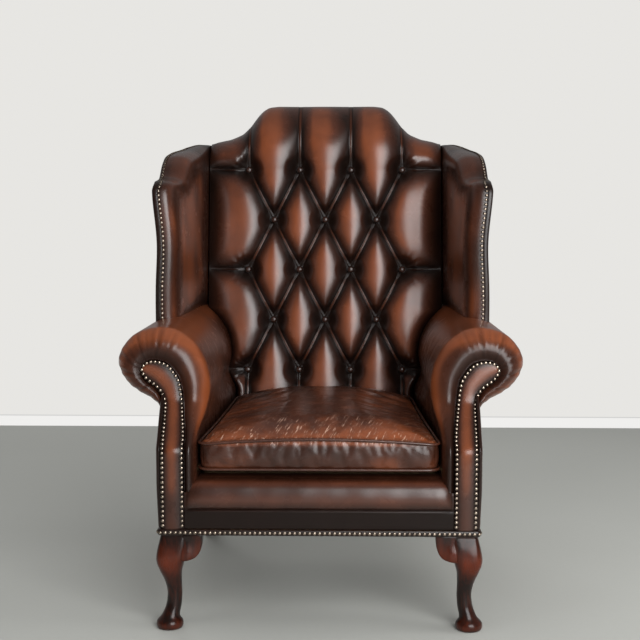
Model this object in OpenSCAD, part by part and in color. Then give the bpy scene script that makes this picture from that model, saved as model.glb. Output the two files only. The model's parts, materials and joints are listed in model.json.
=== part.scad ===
// Deep-buttoned leather wingback chair: beech frame, cabriole front legs,
// scroll arms with nailed facings, diamond-tufted back and a loose seat cushion.
// Depths are measured back from the front face of the seat frame leather,
// and each module moves its piece so that the origin lies under the middle.

/* [Seat frame] */
// Height of the seat frame above the floor
leg_height = 198; // [170:1:230]
// Width over the seat frame at the front
frame_width = 640; // [600:2:680]
// Width over the back posts
rear_width = 616; // [590:2:630]
// Depth from the front leather to the front of the back posts
post_depth = 644; // [610:2:680]
// Height of the seat rails
rail_height = 90; // [75:1:105]
// Thickness of the seat rails
rail_thick = 30; // [24:1:34]

/* [Back] */
// Height of the crest
back_height = 1084; // [1040:2:1130]
// Lean of the back from upright, in degrees
recline = 9.4; // [7:0.2:11]
// Height of the arched crest above its shoulders
crest_rise = 92; // [70:1:110]
// Half the width of the buttoned back above the arms
back_half = 285; // [270:1:288]
// Distance from a button down to the next row
button_drop = 121; // [112:1:124]
// Half the distance between two buttons in a row
button_half_pitch = 62.7; // [58:0.1:66]
// How far the tufts stand in front of the buttons
tuft_height = 38; // [24:1:42]
// Radius of a covered button
button_radius = 8.5; // [7:0.5:10]

/* [Arms] */
// Height of the arms
arm_height = 598; // [570:1:620]
// Reach of the front scroll outside the inner arm face
arm_over = 144; // [125:1:150]
// Reach of the arm roll outside the inner arm face at the back
arm_over_rear = 106; // [98:1:115]
// Height of the knuckle where the arm front turns back
knuckle_height = 375; // [355:1:385]
// How far the arm front steps back above the knuckle
knuckle_setback = 85; // [60:1:95]
// Thickness of the padded facings
facing_thick = 5; // [4:0.5:7]

/* [Wings] */
// Depth of the front edge of the wings
wing_front = 302; // [290:1:330]
// Drop from the crest to the ears of the wings
ear_drop = 179; // [164:1:194]
// Half the width over the wings at their front edge
wing_half = 361; // [350:1:368]
// Outward flare of the ears
ear_flare = 10; // [4:1:14]
// Thickness of the wing boards
wing_board = 22; // [18:1:22]

/* [Legs] */
// Width of the square top of a front leg
leg_square = 55; // [48:1:58]
// Radius of the pad foot
foot_radius = 27.5; // [24:0.5:30]
// Height of the pad foot
foot_height = 20; // [16:1:26]
// Rake of the rear feet behind the posts
rear_rake = 62; // [40:1:75]

/* [Seat cushion] */
// Half the width of the cushion at the front
cushion_half = 243; // [232:1:243]
// Half the width of the cushion at the back
cushion_half_rear = 210; // [200:1:211]
// Height of the cushion's boxing
cushion_boxing = 56; // [45:1:65]
// Height of the crown above the boxing
cushion_crown = 32; // [20:1:40]
// Radius of the piping
piping_radius = 3; // [2:0.25:4]

/* [Hidden] */
leather = "#5a2c1b";
leather_dark = "#3a1d14";
beech = "#cfa877";
mahogany = "#4a1a10";
canvas = "#8d7a5c";
foam = "#d9cfa6";
black_cloth = "#1c1a19";
tape_brown = "#2a1a12";
brass = "#9a7b45";

// Fits and common sizes
gap = 0.3;
overrun = 2;
leather_thick = 5;
band_height = 13;
band_thick = 6;
band_proud = 1;
rail_top = leg_height + rail_height;
panel_bottom = leg_height + band_height + gap;

// Plan of the frame
frame_half = frame_width / 2;
rear_half = rear_width / 2;
post_thick = 34;
post_inner = rear_half - post_thick;
leg_inner = frame_half - leg_square;
rail_start = facing_thick + leg_square;
lean = tan(recline);
stump_step = 5;
stump_inner = leg_inner + stump_step;
function lerp(a, b, t) = a + (b - a) * t;
function post_front(z) = post_depth + (z - rail_top) * lean;
function post_back(z) = post_front(max(z, rail_top)) + post_thick;
function side_line(d) = lerp(frame_half, rear_half, min(1, (d - rail_start) / (post_depth - rail_start)));
function side_out(d) = min(frame_half, side_line(d));

// Buttoned back
button_inset = 50;
top_row_drop = 156;
top_row = back_height - top_row_drop;
quilt = 8;
function button_depth(z) = post_front(z) - button_inset;
button_rows = 5;
function row_z(k) = top_row - k * button_drop;
low_row = row_z(button_rows - 1);
crest_apex = 14;
crest_back = 25;
crest_drop = 22;
crest_shares = [
    [0, 1], [0.42, 1], [0.5, 0.97], [0.555, 0.86], [0.6, 0.7], [0.655, 0.46],
    [0.725, 0.24], [0.83, 0.1], [1, 0]
];
crest_line = [for (p = crest_shares) [p[0] * back_half, back_height - crest_rise * (1 - p[1])]];
function crest_top(x) = lookup(abs(x), crest_line);

// Overall depth and the shift that puts the origin under the middle
toe_reach = 8;
rear_reach = post_front(back_height) + crest_apex + crest_back;
front_y = -(rear_reach + toe_reach) / 2 + toe_reach;

// Arms
arm_rise = arm_height - rail_top;
arm_pad_front = 24;
arm_pad_rear = 60;
arm_bulge_front = 42;
arm_bulge_rear = 46;
slope_rise = 83;
upper_lean = 0.1;
knuckle_share = (knuckle_height - rail_top) / arm_rise;
function arm_front(z) =
    z < knuckle_height ? 0 :
    z < knuckle_height + slope_rise ? knuckle_setback * (z - knuckle_height) / slope_rise :
    knuckle_setback + upper_lean * (z - knuckle_height - slope_rise);
function arm_in(t) = lerp(stump_inner, post_inner, t);
// Leather across and up, then frame side across and up, from the neck round the scroll
arm_shares = [
    [-0.86, 0.49, 0.055, 0.523], [-1, 0.62, 0.083, 0.626], [-0.93, 0.723, 0.118, 0.694],
    [-0.7, 0.82, 0.19, 0.748], [-0.24, 0.916, 0.264, 0.794], [0.11, 0.974, 0.347, 0.82],
    [0.326, 1, 0.45, 0.832], [0.555, 0.997, 0.555, 0.832], [0.778, 0.958, 0.646, 0.816],
    [0.93, 0.884, 0.7, 0.787], [1, 0.8, 0.722, 0.752], [0.958, 0.723, 0.694, 0.72],
    [0.86, 0.655, 0.611, 0.69], [0.708, 0.6, 0.52, 0.671], [0.54, 0.565, 0.4375, 0.632]
];
// Facing: near edge across and up, then far edge across and up
facing_shares = [
    [0, 0.36, 0.34, 0.36], [0.055, 0.523, 0.36, 0.53], [0.083, 0.626, 0.385, 0.58],
    [0.118, 0.694, 0.4375, 0.632], [0.19, 0.748, 0.52, 0.671], [0.264, 0.794, 0.57, 0.682],
    [0.347, 0.82, 0.611, 0.69], [0.45, 0.832, 0.655, 0.707], [0.555, 0.832, 0.694, 0.72],
    [0.646, 0.816, 0.709, 0.744], [0.7, 0.787, 0.722, 0.752]
];
seat_share = 0.36;
facing_far_share = 0.333;
facing_crown = 3;
// How far back each front ring lies, and how far it has opened, as shares of the edge roll
edge_roll = 34;
edge_shares = [[0, 0.3], [0.12, 0.62], [0.42, 0.88], [1, 1]];

// Cushion place
deck_rise = 41;
deck_top = rail_top + deck_rise;
cushion_base = deck_top + gap;
cushion_front = 2;
cushion_clear = 8;
cushion_rear = button_depth(rail_top + 2 * deck_rise) - tuft_height - cushion_clear;

// Solid skin through rings of points that all have the same count. The ends close round
// a middle point, or between two chains of the ring when each point of the first chain
// has its partner on the second. In a valley skin each fold lies along the deeper diagonal.
function skin_faces(rings, valley) =
    let (n = len(rings[0]))
    [for (i = [0:len(rings) - 2]) for (j = [0:n - 1])
        let (k = (j + 1) % n, a = i * n + j, b = i * n + k)
        let (first = rings[i][j][1] + rings[i + 1][k][1], second = rings[i][k][1] + rings[i + 1][j][1])
        each valley && second > first ? [[a, a + n, b], [a + n, b + n, b]]
            : [[a, a + n, b + n], [a, b + n, b]]];
function chain_cap(partners) =
    [for (j = [0:len(partners) - 2])
        each concat(
            [[j, j + 1, partners[j]]],
            [for (k = [partners[j]:-1:partners[j + 1] + 1]) [j + 1, k - 1, k]]
        )];
function turn(face) = [face[2], face[1], face[0]];
function shift(face, by) = [for (k = face) k + by];
module loft(rings, partners = [], valley = false) {
    n = len(rings[0]);
    last = len(rings) - 1;
    end = last * n;
    size = end + n;
    hub = len(partners) == 0;
    bridge = chain_cap(partners);
    caps = hub
        ? [for (j = [0:n - 1]) each [[size, j, (j + 1) % n], [size + 1, end + (j + 1) % n, end + j]]]
        : concat(bridge, [for (f = bridge) shift(turn(f), end)]);
    polyhedron(
        points = concat([for (r = rings) each r], hub ? [middle(rings[0]), middle(rings[last])] : []),
        faces = concat(skin_faces(rings, valley), caps)
    );
}
// Partners of a ring made of two chains of equal length
function ladder(n) = [for (j = [0:n / 2 - 1]) n - 1 - j];
function total(v, i = 0) = i < len(v) ? v[i] + total(v, i + 1) : v[0] * 0;
function middle(ring) = total(ring) / len(ring);

// Places a piece drawn in depths, and its twin on the other side
module placed() { translate([0, front_y, 0]) children(); }
module twin() { mirror([1, 0, 0]) children(); }
// Extrudes an outline of depth and height across the chair
module across(x, width) { translate([x, 0, 0]) rotate([90, 0, 90]) linear_extrude(width) children(); }
// Extrudes an outline of width and height towards the back
module backward(d, depth) {
    translate([0, d + depth, 0]) rotate([90, 0, 0]) linear_extrude(depth) children();
}
// Frame of the leaning back: its origin is on the rail top at the front of the posts
module leaning() { translate([0, post_depth, rail_top]) rotate([-recline, 0, 0]) children(); }

// Front legs
leg_centre = frame_half - leg_square / 2;
leg_depth = facing_thick + leg_square / 2;
knee_reach = 8;
leg_sides = 16;
// Height, outward offset and half width, as shares of leg height, knee reach and leg square
leg_shares = [
    [0.085, 1, 0.44], [0.15, 0.7, 0.36], [0.24, 0.2, 0.264], [0.343, 0.1, 0.245],
    [0.424, 0.3, 0.257], [0.51, 0.65, 0.31], [0.6, 1, 0.39], [0.68, 1, 0.47],
    [0.76, 0.8, 0.525], [0.86, 0.5, 0.53], [1, 0, 0.5]
];
round_power = 2;
square_power = 7;
function superround(a, power) =
    1 / pow(pow(abs(cos(a)), power) + pow(abs(sin(a)), power), 1 / power);
function leg_ring(s) = [
    for (k = [0:leg_sides - 1])
        let (a = (k + 0.5) * 360 / leg_sides)
        let (r = s[2] * leg_square * superround(a, lerp(round_power, square_power, s[0] * s[0])))
        [leg_centre + s[1] * knee_reach + r * cos(a),
         leg_depth - s[1] * knee_reach + r * sin(a), s[0] * leg_height]
];
foot_x = leg_centre + knee_reach;
foot_d = leg_depth - knee_reach;
// Radius and height of the pad foot, as shares
foot_shares = [[0, 0], [0.88, 0], [0.97, 0.2], [1, 0.5], [0.95, 0.8], [0.78, 1], [0, 1]];
foot_sides = 48;
module front_leg() {
    color(mahogany) placed() {
        loft([for (s = leg_shares) leg_ring(s)]);
        translate([foot_x, foot_d, 0]) rotate_extrude($fn = foot_sides)
            polygon([for (p = foot_shares) [p[0] * foot_radius, p[1] * foot_height]]);
        translate([leg_inner, facing_thick, leg_height])
            cube([leg_square, leg_square, rail_height]);
    }
}
module front_leg_right() { front_leg(); }
module front_leg_left() { twin() front_leg(); }

// Shaped blocks glued beside the knees
block_width = 30;
block_height = 54;
block_thick = 26;
block_shares = [
    [0, 1], [-0.07, 0.48], [-0.15, 0.11], [-0.21, 0], [0.15, 0.02], [0.5, 0.12], [0.8, 0.32],
    [0.95, 0.6], [1, 1]
];
module block_outline() {
    polygon([for (p = block_shares) [p[0] * block_width, (p[1] - 1) * block_height]]);
}
module knee_block_pair() {
    translate([leg_inner - gap, 0, leg_height]) mirror([1, 0, 0])
        backward(facing_thick, block_thick) block_outline();
    translate([frame_half - block_thick - gap, leg_depth + leg_square / 2 + gap, leg_height])
        across(0, block_thick) block_outline();
}
module knee_blocks() {
    color(mahogany) placed() {
        knee_block_pair();
        twin() knee_block_pair();
    }
}

// Back posts with the raked rear legs below them
rear_foot = 33;
post_top = back_height - crest_rise - post_thick;
post_square = post_thick * cos(recline);
module back_post() {
    color(mahogany) placed() across(post_inner, post_thick) polygon([
        [post_depth, rail_top], [post_front(post_top), post_top],
        [post_front(post_top) + post_square * cos(recline), post_top - post_square * sin(recline)],
        [post_back(rail_top), rail_top], [post_back(rail_top), leg_height],
        [post_depth + rear_rake + rear_foot, 0], [post_depth + rear_rake, 0],
        [post_depth, leg_height]
    ]);
}
module back_post_right() { back_post(); }
module back_post_left() { twin() back_post(); }

// Seat rails
module front_rail() {
    color(beech) placed() translate([-leg_inner, facing_thick, leg_height])
        cube([2 * leg_inner, rail_thick, rail_height]);
}
module side_rail() {
    color(beech) placed() translate([0, 0, leg_height]) linear_extrude(rail_height) polygon([
        [side_out(rail_start), rail_start], [side_out(post_depth), post_depth],
        [side_out(post_depth) - rail_thick, post_depth],
        [side_out(rail_start) - rail_thick, rail_start]
    ]);
}
module side_rail_right() { side_rail(); }
module side_rail_left() { twin() side_rail(); }
module back_rail() {
    color(beech) placed() translate([-post_inner, post_depth, leg_height])
        cube([2 * post_inner, rail_thick, rail_height]);
}

// Triangular blocks glued into the corners of the seat frame
corner_size = 70;
corner_height = 60;
corner_width = 34;
function inner_side(d) = side_out(d) - rail_thick;
module front_corner() {
    d = facing_thick + rail_thick;
    translate([0, 0, web_z - corner_height]) linear_extrude(corner_height)
        polygon([
            [leg_inner, d], [leg_inner, d + leg_square - rail_thick],
            [inner_side(rail_start), rail_start], [inner_side(d + corner_size), d + corner_size],
            [leg_inner - corner_width, d]
        ]);
}
module rear_corner() {
    d = post_depth;
    translate([0, 0, web_z - corner_height]) linear_extrude(corner_height)
        polygon([
            [post_inner, d], [inner_side(d), d], [inner_side(d - corner_size), d - corner_size],
            [post_inner - corner_size, d]
        ]);
}
module corner_blocks() {
    color(beech) placed() {
        front_corner();
        rear_corner();
        twin() front_corner();
        twin() rear_corner();
    }
}

// Arm frame
stump_depth = 36;
stump_inset_share = 0.05;
function arm_x(share, t) = arm_in(t) + share * lerp(arm_over, arm_over_rear, t);
function arm_z(share) = rail_top + share * arm_rise;
function facing_edge(row, near) =
    let (a = [arm_x(row[0], 0), arm_z(row[1])], b = [arm_x(row[2], 0), arm_z(row[3])])
    lerp(a, b, near);
stump_rows = concat(
    [[0, 0, facing_far_share, 0]], [for (i = [0:len(facing_shares) - 2]) facing_shares[i]]
);
module arm_stump() {
    color(beech) placed() intersection() {
        backward(0, knuckle_setback + edge_roll + stump_depth) polygon(concat(
            [for (r = stump_rows) facing_edge(r, stump_inset_share)],
            [for (i = [len(stump_rows) - 1:-1:0]) facing_edge(stump_rows[i], 1 - stump_inset_share)]
        ));
        across(0, 2 * frame_half) polygon([
            for (z = [rail_top, knuckle_height, knuckle_height + slope_rise, arm_height])
                [arm_front(z) + facing_thick, z],
            for (z = [arm_height, knuckle_height + slope_rise, knuckle_height, rail_top])
                [arm_front(z) + facing_thick + stump_depth, z]
        ]);
    }
}
module arm_stump_right() { arm_stump(); }
module arm_stump_left() { twin() arm_stump(); }

arm_rail_size = 28;
rail_centre_share = 0.465;
rail_height_share = 0.755;
arm_rail_z = arm_z(rail_height_share) - arm_rail_size / 2;
arm_rail_start = arm_front(arm_rail_z + arm_rail_size) + facing_thick + stump_depth;
module arm_rail() {
    back = post_front(arm_rail_z) + post_thick;
    color(beech) placed() translate([0, 0, arm_rail_z]) linear_extrude(arm_rail_size) polygon([
        [arm_x(rail_centre_share, 0) - arm_rail_size / 2, arm_rail_start],
        [arm_x(rail_centre_share, 0) + arm_rail_size / 2, arm_rail_start],
        [rear_half + arm_rail_size, back], [rear_half, back]
    ]);
}
module arm_rail_right() { arm_rail(); }
module arm_rail_left() { twin() arm_rail(); }

stay_height = 28;
stay_thick = 20;
stay_lift = 52;
stay_z = rail_top + stay_lift;
module arm_stay() {
    start = arm_front(stay_z + stay_height) + facing_thick + stump_depth;
    stop = post_front(stay_z);
    color(beech) placed() translate([0, 0, stay_z]) linear_extrude(stay_height) polygon([
        [arm_in(start / stop) + gap, start], [arm_in(start / stop) + stay_thick, start],
        [arm_in(1) + stay_thick, stop], [arm_in(1) + gap, stop]
    ]);
}
module arm_stay_right() { arm_stay(); }
module arm_stay_left() { twin() arm_stay(); }

// Top and bottom rails of the back
board_thick = 28;
crest_cover = 20;
function up(z) = (z - rail_top) / cos(recline);
module crest_rail() {
    color(beech) placed() leaning() backward(0, board_thick) polygon(concat(
        [for (p = crest_line) [p[0], up(p[1] - crest_cover)]],
        [[back_half, up(post_top)], [-back_half, up(post_top)]],
        [for (i = [len(crest_line) - 1:-1:1]) [-crest_line[i][0], up(crest_line[i][1] - crest_cover)]]
    ));
}
lower_rail_height = 40;
lower_rail_z = 70;
module lower_back_rail() {
    color(beech) placed() leaning() translate([-post_inner, 0, lower_rail_z])
        cube([2 * post_inner, board_thick, lower_rail_height]);
}

// Wings: outline of the leather, from the arm up the front edge and back over the top
wing_lift = 4;
ear_height = back_height - ear_drop;
wing_base = arm_height + wing_lift;
wing_rise = ear_height - wing_base;
wing_top = back_height - crest_rise - overrun;
ear_depth = 80;
wing_run = post_back(wing_top) - wing_front - ear_depth;
// Across the ear and up the front edge, as shares of ear depth and wing rise
ear_shares = [
    [0.03, 0], [0, 0.3], [0, 0.6], [0.01, 0.78], [0.05, 0.88], [0.16, 0.955], [0.38, 0.99],
    [0.7, 1]
];
// Back along the top, as shares of the run and of the climb from ear to crest
top_shares = [
    [0.068, 0.06], [0.12, 0.2], [0.165, 0.39], [0.213, 0.54], [0.27, 0.66], [0.38, 0.75],
    [0.53, 0.83], [0.67, 0.93], [0.81, 1], [1, 1]
];
wing_path = concat(
    [for (p = ear_shares) [wing_front + p[0] * ear_depth, wing_base + p[1] * wing_rise]],
    [for (p = top_shares) [wing_front + ear_depth + p[0] * wing_run,
        ear_height + p[1] * (wing_top - ear_height)]]
);
hub_run = 280;
hub_rise = 120;
wing_hub = [wing_front + hub_run, wing_base + hub_rise];
function inset(p, by) = p + by * (wing_hub - p) / norm(wing_hub - p);
flare_lift = 150;
flare_start = wing_base + flare_lift;
flare_run = 190;
function wing_back(d) = clamp((d - wing_front) / (post_front(wing_top) - wing_front));
function wing_out(d, z) =
    let (back = wing_back(d))
    let (rise = clamp((z - flare_start) / (ear_height - flare_start)))
    let (fade = clamp(1 - (d - wing_front) / flare_run))
    lerp(wing_half, rear_half + leather_thick, back) + ear_flare * rise * rise * fade;
function clamp(v) = min(1, max(0, v));
function wing_board_in(d, z) = wing_out(d, z) - leather_thick - wing_board;
band_wrap = 16;

wing_post_depth = 30;
wing_post_thick = 13;
wing_post_in = 2;
wing_post_start = wing_front + band_wrap + overrun;
wing_post_top = ear_height - band_wrap - wing_post_depth;
wing_post_share = 0.3;
wing_post_foot = arm_x(rail_centre_share, wing_post_share);
wing_post_base = arm_rail_z + arm_rail_size;
// Outline of the post seen from the front, grown by an amount
function wing_post_side(z, side) =
    wing_board_in(wing_post_start, z) + wing_post_in + max(0, side) * wing_post_thick;
function wing_post_outline(top_heights, grow) =
    let (half = wing_post_thick / 2 + grow)
    concat(
        [[wing_post_foot - half, wing_post_base], [wing_post_foot + half, wing_post_base]],
        [for (z = top_heights) [wing_post_side(z, 1) + grow, z]],
        [for (i = [len(top_heights) - 1:-1:0])
            [wing_post_side(top_heights[i], -1) - grow, top_heights[i]]]
    );
module wing_post() {
    color(beech) placed() backward(wing_post_start, wing_post_depth)
        polygon(wing_post_outline([wing_base, flare_start, wing_post_top], 0));
}
module wing_post_right() { wing_post(); }
module wing_post_left() { twin() wing_post(); }

wing_rail_height = 34;
wing_rail_thick = 11;
wing_rail_in = 5;
wing_rail_inset = band_wrap + 1;
wing_rail_z = ear_height - wing_rail_inset - wing_rail_height / 2;
wing_rail_first = 6;
wing_rail_path = [for (i = [wing_rail_first:len(wing_path) - 1]) wing_path[i]];
function wing_rail_side(d) = wing_board_in(d, wing_rail_z) + wing_rail_in;
module wing_rail() {
    stop = post_front(wing_top - wing_rail_inset - wing_rail_height) - gap;
    depths = [wing_post_start, wing_front + flare_run, stop];
    color(beech) placed() intersection() {
        across(0, 2 * wing_half) polygon(concat(
            [for (p = wing_rail_path) inset(p, wing_rail_inset)],
            [for (i = [len(wing_rail_path) - 1:-1:0])
                inset(wing_rail_path[i], wing_rail_inset + wing_rail_height)]
        ));
        translate([0, 0, wing_post_top]) linear_extrude(back_height) polygon(concat(
            [for (d = depths) [wing_rail_side(d), d]],
            [for (i = [2:-1:0]) [wing_rail_side(depths[i]) + wing_rail_thick, depths[i]]]
        ));
    }
}
module wing_rail_right() { wing_rail(); }
module wing_rail_left() { twin() wing_rail(); }

// Webbing of the seat and of the back
web_width = 48;
web_thick = 2.5;
web_z = rail_top - 12;
web_rows = 5;
web_columns = 6;
module seat_webbing() {
    front = facing_thick + rail_thick;
    run = post_depth - front;
    color(canvas) placed() {
        for (i = [1:web_rows]) {
            d = front + run * i / (web_rows + 1);
            translate([-inner_side(d + web_width / 2), d - web_width / 2, web_z])
                cube([2 * inner_side(d + web_width / 2), web_width, web_thick]);
        }
        for (i = [1:web_columns]) {
            x = leg_inner * (2 * i / (web_columns + 1) - 1);
            translate([x - web_width / 2, front, web_z + web_thick])
                cube([web_width, run, web_thick]);
        }
    }
}
back_web_rows = 5;
back_web_columns = 4;
module back_webbing() {
    bottom = lower_rail_z + lower_rail_height;
    run = up(post_top) - bottom;
    color(canvas) placed() leaning() {
        for (i = [1:back_web_rows])
            translate([-post_inner, gap, bottom + run * i / (back_web_rows + 1) - web_width / 2])
                cube([2 * post_inner, web_thick, web_width]);
        for (i = [1:back_web_columns])
            translate([post_inner * (2 * i / (back_web_columns + 1) - 1) - web_width / 2,
                gap + web_thick, bottom]) cube([web_width, web_thick, run]);
    }
}

// Sewn platform under the cushion
border_depth = 75;
function arm_leather(t) = arm_in(t) - lerp(arm_pad_front, arm_pad_rear, t);
deck_rear = post_depth - button_inset;
deck_bottom = web_z + 2 * web_thick;
arm_clear = 1;
module seat_deck() {
    start = border_depth + gap;
    color(leather_dark) placed() translate([0, 0, deck_bottom])
        linear_extrude(deck_top - deck_bottom) polygon([
            [arm_clear - arm_leather(start / post_depth), start],
            [arm_leather(start / post_depth) - arm_clear, start],
            [arm_leather(1) - arm_clear, deck_rear], [arm_clear - arm_leather(1), deck_rear]
        ]);
}

// Padded border across the front, with its roll above a flat apron
apron_height = 38;
roll_bulge = 8;
roll_height = 62;
border_drop = 10;
border_top = deck_top - border_drop;
// Depth as a share of the bulge, height as a share of the roll
roll_shares = [
    [0, 0], [0.3, 0.02], [-0.5, 0.16], [-0.95, 0.36], [-1, 0.58], [-0.6, 0.8], [0.6, 0.95],
    [3, 0.985]
];
module front_border() {
    roll_z = panel_bottom + apron_height;
    side = arm_leather(border_depth / post_depth) - arm_clear;
    color(leather) placed() difference() {
        across(-stump_inner, 2 * stump_inner) polygon(concat(
            [[facing_thick, rail_top], [facing_thick, panel_bottom], [0, panel_bottom]],
            [for (p = roll_shares) [p[0] * roll_bulge, roll_z + p[1] * roll_height]],
            [[border_depth / 2, border_top], [border_depth, border_top], [border_depth, rail_top]]
        ));
        for (x = [side, -side - stump_inner])
            translate([x, -border_depth, rail_top]) cube([stump_inner, 3 * border_depth, deck_top]);
    }
}

// Nailed leather band round the foot of the frame
module band_plan(out, front, back) {
    polygon([
        [-side_line(front) - out, front], [side_line(front) + out, front],
        [rear_half + out, back], [-rear_half - out, back]
    ]);
}
module border_band() {
    rear = post_back(rail_top);
    color(leather_dark) placed() translate([0, 0, leg_height + gap]) linear_extrude(band_height - gap)
        difference() {
            band_plan(band_thick, facing_thick - band_thick - band_proud, rear + band_thick);
            band_plan(gap, facing_thick, rear);
        }
}

// Black cloth under the seat
cover_thick = 1.5;
cover_step = 8;
module dust_cover() {
    side = leg_inner - block_width - overrun;
    front = facing_thick + overrun;
    middle_front = facing_thick + block_thick + overrun;
    rear_start = rail_start + block_width + cover_step;
    outline = [[side, front], [side, middle_front], [inner_side(rear_start), rear_start],
        [inner_side(post_depth), post_depth - overrun]];
    color(black_cloth) placed() translate([0, 0, leg_height - cover_thick]) linear_extrude(cover_thick)
        polygon(concat(outline, [for (i = [3:-1:0]) [-outline[i][0], outline[i][1]]]));
}

// Inside arm: one leather pad from the seat up over the arm and round under the scroll
arm_depth_steps = [0.25, 0.5, 0.75, 1];
arm_foot = rail_top + gap;
function arm_rungs(t) = concat(
    [for (z = [arm_foot, knuckle_height, arm_z(seat_share)])
        [[arm_leather(t), z], [arm_in(t), z]]],
    [for (s = arm_shares) [
        [s[0] < 0 ? arm_in(t) + s[0] * lerp(arm_bulge_front, arm_bulge_rear, t) : arm_x(s[0], t),
         arm_z(s[1])],
        [arm_x(s[2], t), arm_z(s[3])]
    ]]
);
function arm_ring(t, back, open) =
    let (rungs = arm_rungs(t), n = len(rungs))
    [for (k = [0:2 * n - 1])
        let (r = k < n ? rungs[k] : rungs[2 * n - 1 - k])
        let (p = k < n ? lerp(r[1], r[0], open) : r[1])
        [p[0], lerp(arm_front(p[1]) + back, post_back(p[1]), t), p[1]]];
slot_play = 1;
module wing_post_slot() {
    backward(wing_post_start - gap, wing_post_depth + 2 * gap)
        polygon(wing_post_outline([wing_base], slot_play));
}
module back_post_slot() {
    across(0, rear_half + gap) polygon([
        [post_front(rail_top) - gap, rail_top - overrun], [post_front(wing_base) - gap, wing_base],
        [rear_reach, wing_base], [rear_reach, rail_top - overrun]
    ]);
}
module inside_arm() {
    color(leather) placed() difference() {
        loft(concat(
            [for (e = edge_shares) arm_ring(0, e[0] * edge_roll, e[1])],
            [for (t = arm_depth_steps) arm_ring(t, edge_roll, 1)]
        ), ladder(2 * len(arm_rungs(0))));
        wing_post_slot();
        back_post_slot();
    }
}
module inside_arm_right() { inside_arm(); }
module inside_arm_left() { twin() inside_arm(); }

// Narrow padded facing down the front of the arm
facing_edge_depth = 1;
facing_partners = [4, 4, 3];
function facing_ring(row, depth) =
    let (a = facing_edge(row, 0), b = facing_edge(row, 1), span = norm(b - a))
    let (p = lerp(a, b, gap / span), q = lerp(b, a, gap / span), m = (p + q) / 2)
    [[p[0], arm_front(p[1]) + depth, p[1]], [p[0], arm_front(p[1]) + facing_edge_depth, p[1]],
     [m[0], arm_front(m[1]) - facing_crown, m[1]],
     [q[0], arm_front(q[1]) + facing_edge_depth, q[1]], [q[0], arm_front(q[1]) + depth, q[1]]];
band_share = (panel_bottom - rail_top) / arm_rise;
facing_rows = concat(
    [[0, band_share, facing_far_share, band_share],
     [0, knuckle_share, facing_far_share, knuckle_share]],
    facing_shares
);
module arm_facing() {
    color(leather) placed() loft([for (r = facing_rows) facing_ring(r, facing_thick)], facing_partners);
}
module arm_facing_right() { arm_facing(); }
module arm_facing_left() { twin() arm_facing(); }

// Leather panel outside the arm
panel_lean = 9;
panel_rear_lean = 1.8;
outside_top = arm_z(0.56);
function arm_panel(d, z) =
    let (lean_out = lerp(panel_lean, panel_rear_lean, clamp(d / post_depth)))
    side_line(d) + gap + leather_thick
        + lean_out * clamp((z - panel_bottom) / (outside_top - panel_bottom));
outside_arm_points = [
    [facing_thick, panel_bottom], [facing_thick, knuckle_height],
    [arm_front(outside_top) + facing_thick, outside_top],
    [post_back(outside_top), outside_top], [post_back(rail_top), rail_top],
    [post_back(rail_top), panel_bottom]
];
outside_arm_partners = [5, 4, 3];
module outside_arm() {
    color(leather_dark) placed() loft([
        for (t = [0, leather_thick])
            [for (p = outside_arm_points) [arm_panel(p[0], p[1]) - t, p[0], p[1]]]
    ], outside_arm_partners);
}
module outside_arm_right() { outside_arm(); }
module outside_arm_left() { twin() outside_arm(); }

// Leather cover that closes the end of the arm roll beside the back
end_near = rear_half + leather_thick + 2 * gap;
end_first = 7;
end_low = arm_z(arm_shares[len(arm_shares) - 1][1]);
end_outline = concat(
    [[end_near, end_low], [end_near, arm_z(arm_shares[end_first][1])]],
    [for (i = [end_first:len(arm_shares) - 1])
        [arm_x(arm_shares[i][0], 1), arm_z(arm_shares[i][1])]]
);
module arm_end() {
    color(leather_dark) placed() loft([
        for (t = [gap, leather_thick]) [for (p = end_outline) [p[0], post_back(p[1]) + t, p[1]]]
    ]);
}
module arm_end_right() { arm_end(); }
module arm_end_left() { twin() arm_end(); }

// Padded inside of the wing, which thins out where it meets the back
wing_pad = 7;
wing_crown = 14;
function pad_fade(d) = 1 - pow(wing_back(d), 3);
wing_foot = [for (share = [1, 0.6, 0.25])
    lerp(wing_front, post_front(wing_base) - overrun, share)];
wing_loop = concat(
    [for (p = wing_path) if (p[0] < post_front(p[1]) - overrun) p],
    [for (share = [1, 0.5]) let (z = lerp(wing_base, wing_top, share)) [post_front(z) - overrun, z]],
    [for (d = wing_foot) [d, wing_base]]
);
// Inset of the outline and rise of the pad, as shares of the crown
wing_pad_shares = [[0, 0.02], [0, 0.35], [1, 0.75], [4, 1]];
foot_step = 3.5;
function wing_inset(p) =
    p[1] > wing_base ? inset(p, band_wrap + 1) : [max(p[0], wing_front + band_wrap + foot_step), p[1]];
module inside_wing() {
    color(leather) placed() loft([
        for (s = wing_pad_shares) [for (p = wing_loop)
            let (q = inset(wing_inset(p), s[0] * wing_crown))
            [wing_board_in(q[0], q[1]) - s[1] * wing_crown * pad_fade(q[0]), q[0], q[1]]]
    ]);
}
module inside_wing_right() { inside_wing(); }
module inside_wing_left() { twin() inside_wing(); }

// Rolled edge that wraps the front and top of the wing board
band_points = 6;
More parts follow.
